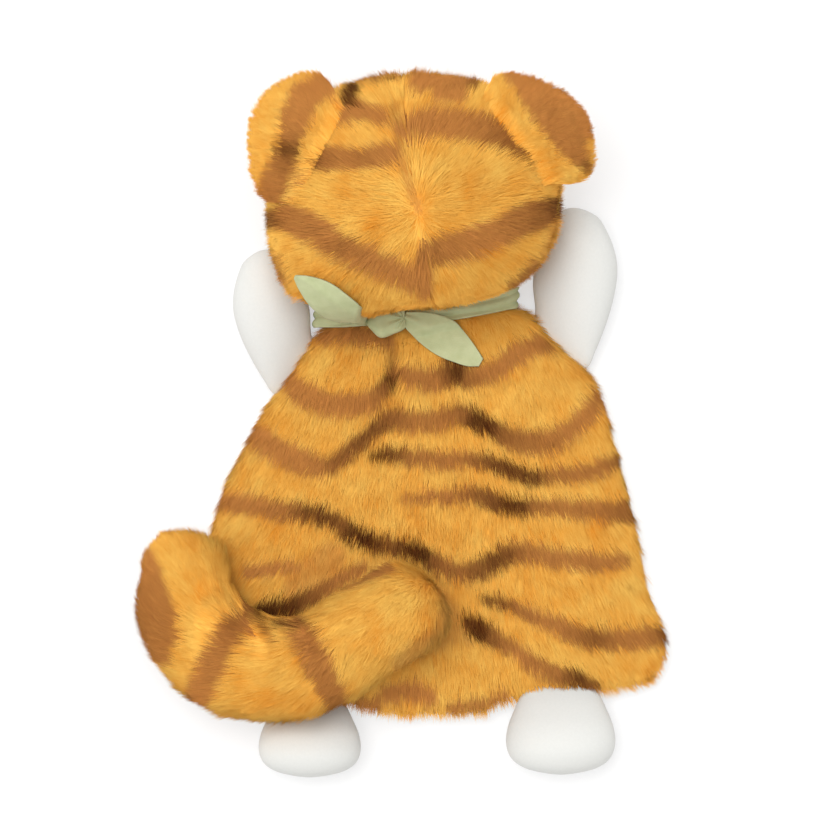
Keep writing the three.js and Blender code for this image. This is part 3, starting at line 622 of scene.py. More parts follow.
def bumped(tree, height, strength, depth):
    """Normals from a height, as deep as a length in mm."""
    values = {"Strength": strength, "Distance": depth * MM}
    return add_node(tree, "ShaderNodeBump", values, {"Height": height}).outputs[0]


def new_material(name):
    """An empty material and its tree."""
    made = bpy.data.materials.new(name)
    made.use_nodes = True
    made.node_tree.nodes.clear()
    return made, made.node_tree


def finish_surface(tree, colour, bump=None, **sockets):
    """The last shader of a material, with plain numbers on its other sockets."""
    numbers = {key.replace("_", " "): value for key, value in sockets.items()}
    shader = add_node(tree, "ShaderNodeBsdfPrincipled", numbers, {"Base Color": colour})
    if bump is not None:
        tree.links.new(bump, shader.inputs["Normal"])
    add_node(tree, "ShaderNodeOutputMaterial", (), {"Surface": shader.outputs[0]})


def plush(name, shade, light, rough):
    """Polyester plush: fine dull fibres, paler at their tips and darker at their roots as painted shade,
    airbrushed with brown, and with painted shade, where the attribute says."""
    made, tree = new_material(name)
    paint_and_shade = add_node(tree, "ShaderNodeAttribute", attribute_name="paint_and_shade")
    parts = add_node(tree, "ShaderNodeSeparateColor", (), {"Color": paint_and_shade.outputs["Color"]})
    tone = worked_out(tree, "ADD", grain(tree, size=14, detail=2.0), parts.outputs["Blue"])
    tone = worked_out(tree, "SUBTRACT", tone, 0.45, clamp=True)
    ground = mixed(tree, tone, shade, light)
    stripe = mixed(tree, parts.outputs["Green"], *BROWNS)
    finish_surface(tree, mixed(tree, parts.outputs["Red"], ground, stripe), Roughness=rough,
                   Specular_IOR_Level=0.04)
    return made


def white_minky(name, shade, light):
    """Short white minky: a dense cut pile too fine to show, drawn as millimetre clumps in its bump, with
    painted shade between the clumps in its colour.
    """
    made, tree = new_material(name)
    clumps = grain(tree, size=1.1, detail=3.0, roughness=0.6)
    bump = bumped(tree, clumps, strength=0.12, depth=0.2)
    finish_surface(tree, mixed(tree, clumps, shade, light), bump, Roughness=0.9, Specular_IOR_Level=0.1,
                   Sheen_Weight=0.05, Sheen_Roughness=0.5)
    return made


def muslin(name, shade, light):
    """Washed cotton muslin: a plain weave of 0.45 mm threads, drawn twice as coarse to show, and crumpled."""
    made, tree = new_material(name)
    cloth = add_node(tree, "ShaderNodeAttribute", attribute_name="thread")
    parts = add_node(tree, "ShaderNodeSeparateXYZ", (), {"Vector": cloth.outputs["Vector"]})
    waves = [worked_out(tree, "SINE", worked_out(tree, "MULTIPLY", parts.outputs[side], FULL_TURN / 0.9))
             for side in ("X", "Y")]
    weave = worked_out(tree, "MULTIPLY_ADD", worked_out(tree, "MULTIPLY", *waves), 0.5, 0.5)
    slub = grain(tree, size=5, detail=4.0)
    height = worked_out(tree, "MULTIPLY_ADD", weave, 0.35, slub)
    bump = bumped(tree, height, strength=0.5, depth=0.3)
    finish_surface(tree, mixed(tree, slub, shade, light), bump, Roughness=0.85, Specular_IOR_Level=0.2,
                   Sheen_Weight=0.1, Sheen_Roughness=0.4)
    return made


def thread(name, shade, light, rough):
    """Embroidery thread: rayon laid side by side in satin stitch, with a soft shine along each 0.6 mm
    ridge, painted into its colour too as a paler crest with painted shade between ridges."""
    made, tree = new_material(name)
    place = add_node(tree, "ShaderNodeTexCoord")
    values = {"Scale": 1 / (0.6 * MM) / FULL_TURN * 2, "Distortion": 1.5, "Detail": 2.0}
    ridges = add_node(tree, "ShaderNodeTexWave", values, {"Vector": place.outputs["Object"]}).outputs["Fac"]
    bump = bumped(tree, ridges, strength=0.6, depth=0.2)
    finish_surface(tree, mixed(tree, ridges, shade, light), bump, Roughness=rough, Specular_IOR_Level=0.4)
    return made


def fibre(name, shade, light):
    """Polyester fibre fill: dull white, with painted shade in the hollows between its tufts."""
    made, tree = new_material(name)
    tufts = grain(tree, size=6, detail=5.0)
    bump = bumped(tree, tufts, strength=0.6, depth=1.5)
    finish_surface(tree, mixed(tree, tufts, shade, light), bump, Roughness=0.95)
    return made


# Each look is a material and its slot in the record
# Browns of the airbrush, which also lay the painted shade
BROWNS = ("#CE8645", "#3A0D06")
ORANGE = (plush("airbrushed_long_pile_polyester", "#E98A20", "#FFC65E", 0.8), "long_pile_plush")
CREAM = (plush("cream_short_pile_polyester", "#EEDCBE", "#FFF6E6", 0.85), "cream_plush")
WHITE = (white_minky("white_cut_pile_minky", "#D0D0CC", "#D8D8D4"), "white_plush")
SAGE = (muslin("sage_cotton_muslin", "#A4AB7E", "#C4C99F"), "sage_cotton")
BROWN_THREAD = (thread("brown_rayon_thread", "#3A1612", "#5A2A20", 0.5), "brown_thread")
BLACK_THREAD = (thread("black_rayon_thread", "#0E0C0B", "#2A2624", 0.35), "black_thread")
FIBRE = (fibre("polyester_fibre_fill", "#D9D9D6", "#FAFAF8"), "fibre_fill")


def place_mesh(name, points, faces, look, body, smooth_shaded=True):
    """A piece from arrays of points in mm and faces, with its look, riding on its body."""
    material, slot = look
    mesh = bpy.data.meshes.new(name)
    mesh.vertices.add(len(points))
    mesh.vertices.foreach_set("co", (points * MM).astype(np.float32).ravel())
    size = faces.shape[1]
    mesh.loops.add(faces.size)
    mesh.loops.foreach_set("vertex_index", faces.astype(np.int32).ravel())
    mesh.polygons.add(len(faces))
    mesh.polygons.foreach_set("loop_start", np.arange(0, faces.size, size, dtype=np.int32))
    mesh.polygons.foreach_set("use_smooth", np.full(len(faces), smooth_shaded))
    mesh.update(calc_edges=True)
    mesh.materials.append(material)
    piece = bpy.data.objects.new(name, mesh)
    bpy.context.scene.collection.objects.link(piece)
    if body:
        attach(piece, body)
    return piece


def keep_values(piece, name, kind, key, values):
    """Keeps values of a piece's points as an attribute that its material reads."""
    attribute = piece.data.attributes.new(name, kind, "POINT")
    attribute.data.foreach_set(key, values.astype(np.float32).ravel())


def keep_paint_and_shade(piece, cover, depth, tone):
    """Keeps a piece's airbrush and painted shade: its cover, its depth and the tone of each fibre."""
    colours = np.stack([cover, depth, tone, np.ones_like(cover)], -1)
    keep_values(piece, "paint_and_shade", "FLOAT_COLOR", "color", colours)


def keep_threads(piece, places):
    """Keeps where a cloth's points lie in its weave, in mm."""
    keep_values(piece, "thread", "FLOAT_VECTOR", "vector", places)


def merged(piece):
    """Joins points that lie on one another, which closes seams and poles, and drops faces with no area."""
    mesh = bmesh.new()
    mesh.from_mesh(piece.data)
    bmesh.ops.remove_doubles(mesh, verts=mesh.verts, dist=1e-6)
    bmesh.ops.dissolve_degenerate(mesh, edges=mesh.edges, dist=1e-7)
    mesh.to_mesh(piece.data)
    mesh.free()


def shell_faces(columns, rows, wrapped):
    """Faces of a thick panel: an outer and an inner grid, wound opposite ways, and strips round open
    edges."""
    across = columns if wrapped else columns - 1
    i, j = np.meshgrid(np.arange(across), np.arange(rows - 1), indexing="ij")
    i, j = i.ravel(), j.ravel()
    k = (i + 1) % columns
    size = columns * rows
    outer = np.stack([i * rows + j, k * rows + j, k * rows + j + 1, i * rows + j + 1], -1)
    faces = [outer, outer[:, ::-1] + size]
    i = np.arange(across)
    k = (i + 1) % columns
    for row, turned in ((0, True), (rows - 1, False)):
        strip = np.stack([i * rows + row, k * rows + row, k * rows + row + size, i * rows + row + size], -1)
        faces.append(strip[:, [1, 0, 3, 2]] if turned else strip)
    if not wrapped:
        j = np.arange(rows - 1)
        for column, turned in ((0, False), (columns - 1, True)):
            at = column * rows
            strip = np.stack([at + j, at + j + 1, at + j + 1 + size, at + j + size], -1)
            faces.append(strip[:, [1, 0, 3, 2]] if turned else strip)
    return np.concatenate(faces)


def outward(points, faces):
    """The faces, turned over if together they enclose a negative volume."""
    a, b, c, d = (points[faces[:, k]] for k in range(4))
    volume = (a * np.cross(b, c)).sum() + (a * np.cross(c, d)).sum()
    return faces if volume > 0 else faces[:, ::-1]


def panel(name, skin, patch, grow, thickness, look, body, nodes, grid):
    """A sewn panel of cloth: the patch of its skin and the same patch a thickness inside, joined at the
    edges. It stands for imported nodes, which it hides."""
    (u0, u1), (v0, v1) = patch
    wrapped = np.isclose(u1 - u0, FULL_TURN)
    columns, rows = grid
    u = np.linspace(u0, u1, columns, endpoint=not wrapped)
    v = np.linspace(v0, v1, rows)
    u, v = np.meshgrid(u, v, indexing="ij")
    layers = (laid(skin, u, v, grow), laid(skin, u, v, grow - thickness))
    points = above_floor(np.concatenate([layer.reshape(-1, 3) for layer in layers]))
    piece = place_mesh(name, points, outward(points, shell_faces(columns, rows, wrapped)), look, body)
    cover, depth = painted(points, *skin.paint) if skin.paint else np.zeros((2, len(points)))
    keep_paint_and_shade(piece, cover, depth, np.full(len(points), CLOTH_TONE))
    merged(piece)
    if nodes:
        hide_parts(*nodes)
    return piece


def strand_faces(count):
    """Faces of tapering strands: three sides from the root's corners to the tip, and a cap under the root."""
    one = np.array([[0, 1, 3], [1, 2, 3], [2, 0, 3], [0, 2, 1]])
    return (one[None] + 4 * np.arange(count)[:, None, None]).reshape(-1, 3)


def strand_map(piece, root, faces):
    """A map with one small square for each strand, laid out in rows from hem to crown, so that neighbours
    on the toy are neighbours on it: each side fills a triangle of the square, from the root's corners to
    the tip."""
    count = len(root)
    side = int(np.ceil(np.sqrt(count)))
    row = np.empty(count, int)
    row[np.argsort(root[:, 1])] = np.arange(count) // side
    cell = np.empty(count, int)
    cell[np.lexsort((root[:, 0], row))] = np.arange(count)
    corner = np.stack([cell % side, cell // side], -1)[faces[:, 0] // 4]
    sides, cap = [[0.1, 0.1], [0.9, 0.1], [0.5, 0.9]], [[0.1, 0.1], [0.5, 0.14], [0.9, 0.1]]
    inside = np.tile(np.array([sides] * 3 + [cap]), (count, 1, 1))
    layer = piece.data.uv_layers.new(name="OFBake")
    layer.data.foreach_set("uv", ((corner[:, None] + inside) / side).astype(np.float32).ravel())


def locks_of(places, size):
    """The lock that each place belongs to: its cell in a grid over the toy's space, with blurred walls."""
    blurred = places + 0.3 * size * random.normal(0, 1, places.shape)
    _, lock = np.unique(np.floor(blurred / size).astype(int), axis=0, return_inverse=True)
    return lock.ravel()


def mean_of(values, lock):
    """The mean of the values in each lock, for each of its members."""
    members = np.bincount(lock)
    return np.stack([np.bincount(lock, column) / members for column in values.T], -1)[lock]


def per_lock(lock, spread):
    """One random number for each lock, for each of its members."""
    return random.normal(0, spread, lock.max() + 1)[lock]


def clumping(pile):
    """How far the strands of a lock share their lean, length and tone."""
    return min(2.5 * pile.gather, 1)


def leaning(root, normal, flow, pile, lock, tuft):
    """Tips of strands: each rises from its root and leans along the combing, turned, raised and stretched
    at random by itself and with its lock, and is drawn to the mean tip of its lock and, by half as much, of
    its tuft."""
    count, clumped = len(root), clumping(pile)
    flow = unit(flow - normal * (flow * normal).sum(-1, keepdims=True))
    turn = random.normal(0, pile.stray, count)
    turn = turn + clumped * (per_lock(lock, pile.stray) + per_lock(tuft, pile.stray))
    turn = turn + ripple(root, STRAY_SIZE, pile.stray)
    flow = flow * np.cos(turn)[:, None] + np.cross(normal, flow) * np.sin(turn)[:, None]
    steep = pile.rise * (1 + 0.3 * random.normal(0, 1, count) + clumped * per_lock(tuft, 0.3))
    steep = steep.clip(0.03, 0.95)[:, None]
    reach = pile.length * (1 + random.normal(0, 0.15, count) + clumped * per_lock(lock, 0.1))
    reach = reach.clip(0.4 * pile.length, 1.4 * pile.length)[:, None]
    tip = root + reach * (flow * np.sqrt(1 - steep ** 2) + normal * steep)
    tip = tip + pile.gather * (mean_of(tip, lock) - tip)
    return tip + 0.5 * pile.gather * (mean_of(tip, tuft) - tip)


def strand_corners(root, tip, normal, half):
    """Four corners of each strand, three round its root inside the cloth and its tip, and the way each
    faces."""
    ahead = unit(tip - root)
    side = unit(np.cross(normal, ahead))
    over = np.cross(ahead, side)
    angles = np.arange(3) * FULL_TURN / 3 + np.pi / 6
    way = side[:, None] * np.cos(angles)[:, None] + 0.6 * over[:, None] * np.sin(angles)[:, None]
    width = half * (0.75 + 0.5 * random.random(len(root)))[:, None, None]
    corners = (root - ROOT_SUNK * normal)[:, None] + width * way
    return np.concatenate([corners, tip[:, None]], 1), np.concatenate([way, ahead[:, None]], 1)


def paint_and_shade_of_strands(root, tip, paint):
    """The airbrush and painted shade on each strand, at the part of it that shows, with a little drift."""
    count = len(root)
    if not paint:
        return np.zeros((2, count))
    seen = root + PAINTED_SHARE * (tip - root) + random.normal(0, PAINT_DRIFT, (count, 3))
    cover, depth = painted(seen, *paint)
    cover = cover * (1 - 0.12 * random.random(count))
    return cover, (depth + random.normal(0, 0.06, count)).clip(0, 1)


def fur(name, skin, patch, count, pile, comb, look, body, hold=None, glow=GLOW):
    """Plush pile as fine tapering strands, from random places on a patch of a skin. Their shading leans up a
    little, as light spreads in the pile."""
    u, v = scatter(skin.surface, patch, -pile.depth, count)
    root, normal = laid(skin, u, v, -pile.depth), outward_normal(skin, u, v)
    lock, tuft = locks_of(root, pile.lock), locks_of(root, TUFT_SHARE * pile.lock)
    tip = leaning(root, normal, comb(root, u, v), pile, lock, tuft)
    if hold:
        tip = hold(root, tip)
    corners, ways = strand_corners(root, tip, normal, pile.half)
    faces = strand_faces(count)
    piece = place_mesh(name, above_floor(corners).reshape(-1, 3), faces, look, body)
    cover, depth = paint_and_shade_of_strands(root, tip, skin.paint)
    clumped = clumping(pile)
    own = clumped * (per_lock(lock, 0.09) + per_lock(tuft, 0.07)) + random.normal(0, 0.07, count)
    each = np.repeat(np.arange(count), 4)
    keep_paint_and_shade(piece, cover[each], depth[each], (np.tile(TIPPING_AND_ROOT_SHADE, count) + own[each]).clip(0, 1))
    strand_map(piece, root, faces)
    shading = normal[:, None] + glow * UP + clumped * OWN_SHADE * ways
    piece.data.normals_split_custom_set_from_vertices(unit(shading).reshape(-1, 3))
    return piece


# Piles of each plush
LONG_PILE = Pile(LONG_DEPTH, 9.0, 0.26, 0.25, 0.11, 2.2, 0.4)
HEAD_PILE = Pile(HEAD_DEPTH, 10.0, 0.27, 0.26, 0.12, 2.6, 0.45)
EAR_PILE = Pile(EAR_DEPTH, 7.5, 0.24, 0.24, 0.14, 4.2, 0.75)
TAIL_PILE = Pile(TAIL_DEPTH, 11.0, 0.28, 0.26, 0.13, 3.6, 0.6)
CREAM_PILE = Pile(CREAM_DEPTH, 5.0, 0.3, 0.26, 0.15, 2.0, 0.4)
NECK_PILE = Pile(NECK_DEPTH, 5.0, 0.3, 0.26, 0.15, 2.4, 0.4)
MUZZLE_PILE = Pile(MUZZLE_DEPTH, 4.2, 0.3, 0.24, 0.15, 1.8, 0.4)

# Forms, their joints, and their airbrush and painted shade in mm
body_form = Pillow(BODY_OUTLINE_SHARES, BODY_HALF, BODY_MIDDLE, SEAM_Z, BODY_CROWN, BODY_EDGE_SHARE)
head_form = Pillow(HEAD_OUTLINE_SHARES, HEAD_HALF, HEAD_MIDDLE, HEAD_SEAM_Z, HEAD_CROWN, HEAD_EDGE_SHARE)
joint_of = {joint["child"]: joint for joint in frame["joints"]}


def limb_form(body, droop, root, sizes, thickness, rise, shares, slant_shares, bend=0):
    """A limb sewn on along its body's joint. Its sizes are its reach, its half length and its slant."""
    joint = joint_of[body]
    return Limb(np.array(joint["pos_m"]) / MM, joint["axis"], droop, root, *sizes, thickness, rise, shares,
                slant_shares, bend)


ear_forms = {side: limb_form(f"ear_{side}", EAR_DROOP, EAR_ROOT,
                             (EAR_REACH[side] - EAR_FRINGE, EAR_HALF_LENGTH - EAR_FRINGE, EAR_SLANT),
                             EAR_HALF_THICKNESS, 0, EAR_SHARES, EAR_SLANT_SHARES, EAR_BEND)
             for side in SIDES}
arm_forms = {side: limb_form(f"arm_{side}", 0, ARM_ROOT, ARM_SIZES[side], ARM_HALF_THICKNESS, ARM_RISE,
                             ARM_SHARES, ARM_SLANT_SHARES) for side in SIDES}
leg_forms = {side: limb_form(f"leg_{side}", 0, LEG_ROOT, LEG_SIZES[side], LEG_HALF_THICKNESS, LEG_RISE,
                             LEG_SHARES, np.zeros(len(LEG_SHARES) + 1)) for side in SIDES}
tail_path = np.column_stack([BODY_MIDDLE + BODY_HALF * TAIL_PATH_SHARES[:, :2],
                             TAIL_AXIS_Z + TAIL_RADIUS * TAIL_PATH_SHARES[:, 2]])
tail_form = Tube(tail_path, TAIL_RADIUS * TAIL_SWELL_SHARES)

body_paint = (stripes_in_mm(BODY_STRIPES), stripes_in_mm(BODY_PAINTED_SHADE))
head_paint = (stripes_in_mm(HEAD_STRIPES), stripes_in_mm(HEAD_PAINTED_SHADE))
tail_paint = (stripes_in_mm(TAIL_STRIPES), stripes_in_mm(TAIL_PAINTED_SHADE))
face_paint = (stripes_in_mm(FACE_STRIPES),)

# Scarf: places in plan, the edges of its two ends as pixels of the photograph, each from the knot to the tip
KNOT = np.array([-13.4, 80.6, 20.2])
KNOT_DEPTH = 5
KNOT_EDGE_SHARE = 0.55
KNOT_PLEAT = 0.75
KNOT_PLEAT_REACH = 9
KNOT_DROOP_SHARE = 0.1
KNOT_CORNERS = [[404, 309], [405, 317], [405, 328], [394, 334], [381, 338], [372, 331], [366, 322],
                [372, 315], [380, 311], [388, 306], [397, 305]]
KNOT_PINCH = plan([[404, 318]])[0]
LEAF_DOWN_EDGES = ([[406, 312], [420, 312], [436, 314], [454, 321], [467, 335], [477, 349], [483, 359]],
                   [[403, 325], [411, 334], [424, 346], [439, 356], [454, 362], [467, 366], [479, 366]])
LEAF_UP_EDGES = ([[368, 313], [359, 306], [348, 297], [336, 288], [324, 282], [309, 278], [297, 277]],
                 [[366, 326], [352, 325], [338, 322], [324, 317], [311, 306], [301, 291], [296, 280]])
LEAF_STEPS = 60
STRIP_GRID = (100, 31)
SCARF_EDGE = plan([[292, 284], [320, 296], [350, 311], [372, 309], [386, 303], [412, 299], [440, 301],
                   [480, 293], [524, 284]])
LEAF_PRESS = 0.8
LEAF_LIE = 0.9
LEAF_CURL = 0.5
LOWER_START = 0.8
UPPER_START = 1
LOWER_FOLD = (1.5, 0.3)
UPPER_FOLD = (0.9, 0.3)
BAND_CLEAR = 2.2
BAND_RAMP = 4
BAND_PRESS = 1.5
BAND_CREASES = (0.5, 0.35)
BAND_GATHER = (0.3, 12)
SCARF_THICKNESS = 0.9
SCARF_TUCK = 1
LAID_FLAT = 0.7
ANY_HEIGHT = 1000
ANY_LOW = -1000
BAND_MIDDLE = np.array([-0.8, 83.3, 9.1])
BAND_HALFS = (42.6, 8.6)
BAND_WIDTH = 10
BAND_SLOPES = (0.0, 0.19)
PLEAT = plan([[391, 338], [394, 398]])
HEAD_SEAM = plan([[418, 216], [391, 76]])
TAIL_CREASES = [plan([[240, 592], [272, 640]]), plan([[300, 606], [320, 642]])]

knot_form = Pillow(plan(KNOT_CORNERS) - KNOT[:2], 1, KNOT[:2], KNOT[2], (KNOT_DEPTH, KNOT_DEPTH),
                   KNOT_EDGE_SHARE)


def span_gap(places, ends):
    """Distance in plan from places to a straight span, and the share of the way along it."""
    step = ends[1] - ends[0]
    along = ((places[..., :2] - ends[0]) @ step / (step @ step)).clip(0, 1)
    nearest = ends[0] + along[..., None] * step
    return np.hypot(*np.moveaxis(places[..., :2] - nearest, -1, 0)), along


def body_relief(points):
    """The back of the body with its slack: long low swells, and a pleat that dips along a straight line."""
    gap, along = span_gap(points, PLEAT)
    dip = ridge(gap, *PLEAT_DIP) * np.sin(np.pi * (0.25 + 0.65 * along))
    puff = ridge(gap - PLEAT_PUFF_ASIDE, *PLEAT_PUFF) * (along > 0) * (along < 1)
    swell = ripple(points * [1, 1, 0], *BODY_SWELL)
    above = smooth((points[..., 2] - SEAM_Z) / BODY_BLEND)
    return points + UP * ((swell + puff - dip) * above)[..., None]


def leaf_places(edges, s, t):
    """Plan places of a scarf's end: at each share along it, between its two smooth edges."""
    knots = np.linspace(0, 1, len(edges[0]))
    upper, lower = (through(knots, plan(edge), s) for edge in edges)
    t = t[..., None]
    return upper * (1 + t) / 2 + lower * (1 - t) / 2


def under_leaf(places, edges):
    """Whether places lie under a scarf's end: nearer to its middle line than its half width there."""
    s = np.linspace(0, 1, LEAF_STEPS)
    middle = leaf_places(edges, s, 0 * s)
    half = np.hypot(*(leaf_places(edges, s, 0 * s + 1) - middle).T)
    gap = np.hypot(*(places[:, None, :2] - middle).transpose(2, 0, 1))
    return (gap < half).any(1)


def covered(root, tip, edges):
    """Whether strands have their tips or their middles under a scarf's end."""
    return under_leaf(tip, edges) | under_leaf((root + tip) / 2, edges)


def band_middle(x):
    """Plan line of the scarf's band: level to the left of its middle, rising to the right."""
    across = x - BAND_MIDDLE[0]
    return BAND_MIDDLE[1] + np.where(across > 0, BAND_SLOPES[1], BAND_SLOPES[0]) * across


def beside_band(places):
    """How far plan places lie outside the scarf's band, less than 0 over it."""
    return np.abs(places[..., 1] - band_middle(places[..., 0])) - BAND_WIDTH / 2


def band_top(places, press=0):
    """Height of the band's upper side over plan places, pressed in by a length."""
    share = ((places[..., 0] - BAND_MIDDLE[0]) / BAND_HALFS[0]).clip(-1, 1)
    return BAND_MIDDLE[2] + (BAND_HALFS[1] - press) * np.sqrt(1 - share ** 2)


def held_on_back(root, tip):
    """The fur of the back is pressed down under the tail's tube, under the scarf's lower end and under its
    band, and at most flat on the cloth that it grows from."""
    middle, _, radius = tail_form.axis(np.linspace(0, 1, 50))
    gap = np.hypot(tip[:, None, 0] - middle[:, 0], tip[:, None, 1] - middle[:, 1])
    under = middle[:, 2] - np.sqrt(np.maximum(radius ** 2 - gap ** 2, 0))
    room = np.where(gap < radius, under, ANY_HEIGHT).min(1)
    cloth = np.where(covered(root, tip, LEAF_DOWN_EDGES), body_form.height(tip, -LEAF_PRESS), ANY_HEIGHT)
    ring = np.where(beside_band(tip) < 0, band_top(tip, BAND_PRESS), ANY_HEIGHT)
    skin = body_relief(np.column_stack([tip[:, :2], body_form.height(tip, LAID_FLAT - LONG_DEPTH)]))[:, 2]
    return no_higher(tip, np.maximum(np.minimum(np.minimum(room, cloth), ring), skin))


def held_on_head(root, tip):
    """The fur of the head is pressed down under the scarf's upper end, and pushed up from the scarf's
    edge."""
    flat = np.where(covered(root, tip, LEAF_UP_EDGES), head_form.height(tip, -LEAF_PRESS), ANY_HEIGHT)
    tip = no_higher(tip, flat)
    edge = np.interp(tip[:, 0], SCARF_EDGE[:, 0], SCARF_EDGE[:, 1], ANY_LOW, ANY_LOW)
    edge = edge - SCARF_TUCK - ripple(root, *SCARF_RAGGED)
    held = edge + 0.5 * (tip[:, 1] - edge)
    return np.stack([tip[:, 0], np.where(tip[:, 1] < edge, held, tip[:, 1]), tip[:, 2]], -1)


def head_relief(points):
    """The back of the head with its stuffing: low swells, and a groove along the seam from whorl to crown."""
    gap, along = span_gap(points, HEAD_SEAM)
    dip = ridge(gap, *HEAD_SEAM_DIP) * smooth(along / 0.3)
    out = unit(points - [*HEAD_MIDDLE, HEAD_SEAM_Z])
    above = smooth((points[..., 2:] - HEAD_SEAM_Z) / HEAD_BLEND)
    return points + out * (ripple(points, *HEAD_SWELL) - dip)[..., None] * above


def tail_relief(points):
    """The tail's stuffing: low lumps, and two folds that run out from the inside of its bend."""
    lump = ripple(points, *TAIL_SWELL)
    for crease in TAIL_CREASES:
        gap, along = span_gap(points, crease)
        lump = lump - ridge(gap, *TAIL_CREASE_DIP) * (1 - along)
        lump = lump + ridge(gap - TAIL_PUFF_ASIDE, *TAIL_CREASE_PUFF)
    above = smooth((points[..., 2] - TAIL_AXIS_Z) / TAIL_BLEND + 0.5)
    return points + UP * (lump * above)[..., None]


def comb_body(root, *_):
    """Towards the hem, and outward near the sides."""
    return np.stack([0.7 * root[:, 0] / BODY_HALF[0], -np.ones(len(root)), np.zeros(len(root))], -1)


def comb_head(root, *_):
    """Away from the whorl at the back of the head, where it turns over, and outward from the seam above
    it."""
    gap, _ = span_gap(root, HEAD_SEAM)
    course = unit(HEAD_SEAM[1] - HEAD_SEAM[0])
    aside = np.array([course[1], -course[0], 0])
    side = np.sign((root[:, :2] - HEAD_SEAM[0]) @ aside[:2])
    seam, fade = PARTING_WIDTHS
    parting = (side * (1 - ridge(gap, 1, seam)) * ridge(gap, 1, fade))[:, None] * aside
    away = root - WHORL
    near = np.exp(-((away[:, :2] ** 2).sum(-1) / WHORL_REACH ** 2))[:, None]
    return unit(away) + 0.75 * parting + near * random.normal(0, 1.1, root.shape)


def comb_face(root, *_):
    """Up and out from between the eyes."""
    return root - np.array([HEAD_MIDDLE[0], HEAD_MIDDLE[1] - FACE_PARTING, 0])


def comb_tail(root, u, v):
    """Along the tail's surface, from its base to its tip, falling to the hem at its base and outward at its
    tip."""
    step = 0.02
    along = unit(tail_form(u, v + step) - tail_form(u, v - step))
    share = v.clip(0, 1)[:, None]
    return along + (1 - share) * np.array([0, -0.9, 0]) + share * np.array([-0.7, 0, 0])


def comb_limb(form):
    """Outward along a limb, fanning towards its ends."""
    def comb(root, *_):
        across = (root - form.place) @ form.along / form.halfs.max()
        return form.outward + 0.75 * across[:, None] * form.along
    return comb


def lumpy(points):
    """Loose fibre: low lumps all over."""
    return points + unit(points - points.mean((0, 1))) * ripple(points, *FIBRE_SWELL)[..., None]


def make_body():
    back, plain = Skin(body_form, body_relief, body_paint), Skin(body_form)
    rows = (("back_cloth", back, UPPER_TURNS, -LONG_DEPTH, BACKING, ORANGE, "back_panel", (220, 60)),
            ("front_cloth", plain, LOWER_TURNS, -SHORT_DEPTH, BACKING, CREAM, "front_panel", (160, 40)),
            ("wadding", plain, ALL_TURNS, -WADDING_DEPTH, WADDING_SKIN, FIBRE, "filling", (120, 40)))
    for part, skin, turns, grow, thickness, look, node, grid in rows:
        panel(f"body_{part}", skin, (AROUND, turns), grow, thickness, look, "torso", [f"body_{node}"], grid)
    third = FULL_TURN / 3
    for k, part in enumerate(("upper", "left", "right")):
        bearings = (third / 4 + k * third, third / 4 + (k + 1) * third)
        fur(f"body_back_fur_{part}", back, (bearings, (-0.06, QUARTER)), 37000, LONG_PILE, comb_body, ORANGE,
            "torso", held_on_back)
    fur("body_front_fur", plain, (AROUND, (-QUARTER, -0.02)), 20000, CREAM_PILE, comb_body, CREAM, "torso")


def make_head():
    seam = HEAD_SEAM_BEARING
    halves = {"left": (seam, seam + np.pi), "right": (seam + np.pi, seam + FULL_TURN)}
    back, face = Skin(head_form, head_relief, head_paint), Skin(head_form, None, face_paint)
    for side, part in halves.items():
        panel(f"head_back_cloth_{side}", back, (part, (PANEL_TURN, QUARTER)), -HEAD_DEPTH, BACKING, ORANGE,
              "head", [f"head_back_{side}"], (90, 60))
        fur(f"head_back_fur_{side}", back, (part, UPPER_TURNS), 31000, HEAD_PILE, comb_head, ORANGE, "head",
            held_on_head)
    panel("head_face_cloth", face, (AROUND, (-QUARTER, PANEL_TURN)), -HEAD_DEPTH, BACKING, ORANGE, "head",
          ["head_face_panel"], (120, 50))
    fur("head_face_fur", face, (AROUND, LOWER_TURNS), 36000, HEAD_PILE, comb_face, ORANGE, "head",
        held_on_head)
    panel("head_wadding", Skin(head_form, lumpy), (AROUND, ALL_TURNS), -HEAD_WADDING_DEPTH, WADDING_SKIN,
          FIBRE, "head", ["head_filling"], (100, 50))


def make_ears():
    """The ears. Their back fur starts inside the head, so that no edge shows along the seam."""
    for side, form in ear_forms.items():
        back, lining = Skin(form, None, (stripes_in_mm(EAR_STRIPES[side]),)), Skin(form)
        rows = (("back", back, UPPER_HALF, form.start, -EAR_FUR_INSET, EAR_FUR_ROOT * form.start, ORANGE, 13500,
                 EAR_PILE, EAR_GLOW),
                ("lining", lining, LOWER_HALF, 0.75 * form.start, EAR_FUR_INSET, EAR_FUR_INSET, CREAM, 6000,
                 CREAM_PILE, GLOW))
        body = f"ear_{side}"
        for part, skin, (first, last), start, inset, short, look, count, pile, glow in rows:
            panel(f"{body}_{part}_cloth", skin, ((first, last), (start, QUARTER)), -EAR_DEPTH, EAR_BACKING,
                  look, body, [f"{body}_{part}"], (48, 40))
            furred = ((first + inset, last - inset), (start + short, QUARTER - max(short, 0)))
            fur(f"{body}_{part}_fur", skin, furred, count, pile, comb_limb(form), look, body, glow=glow)


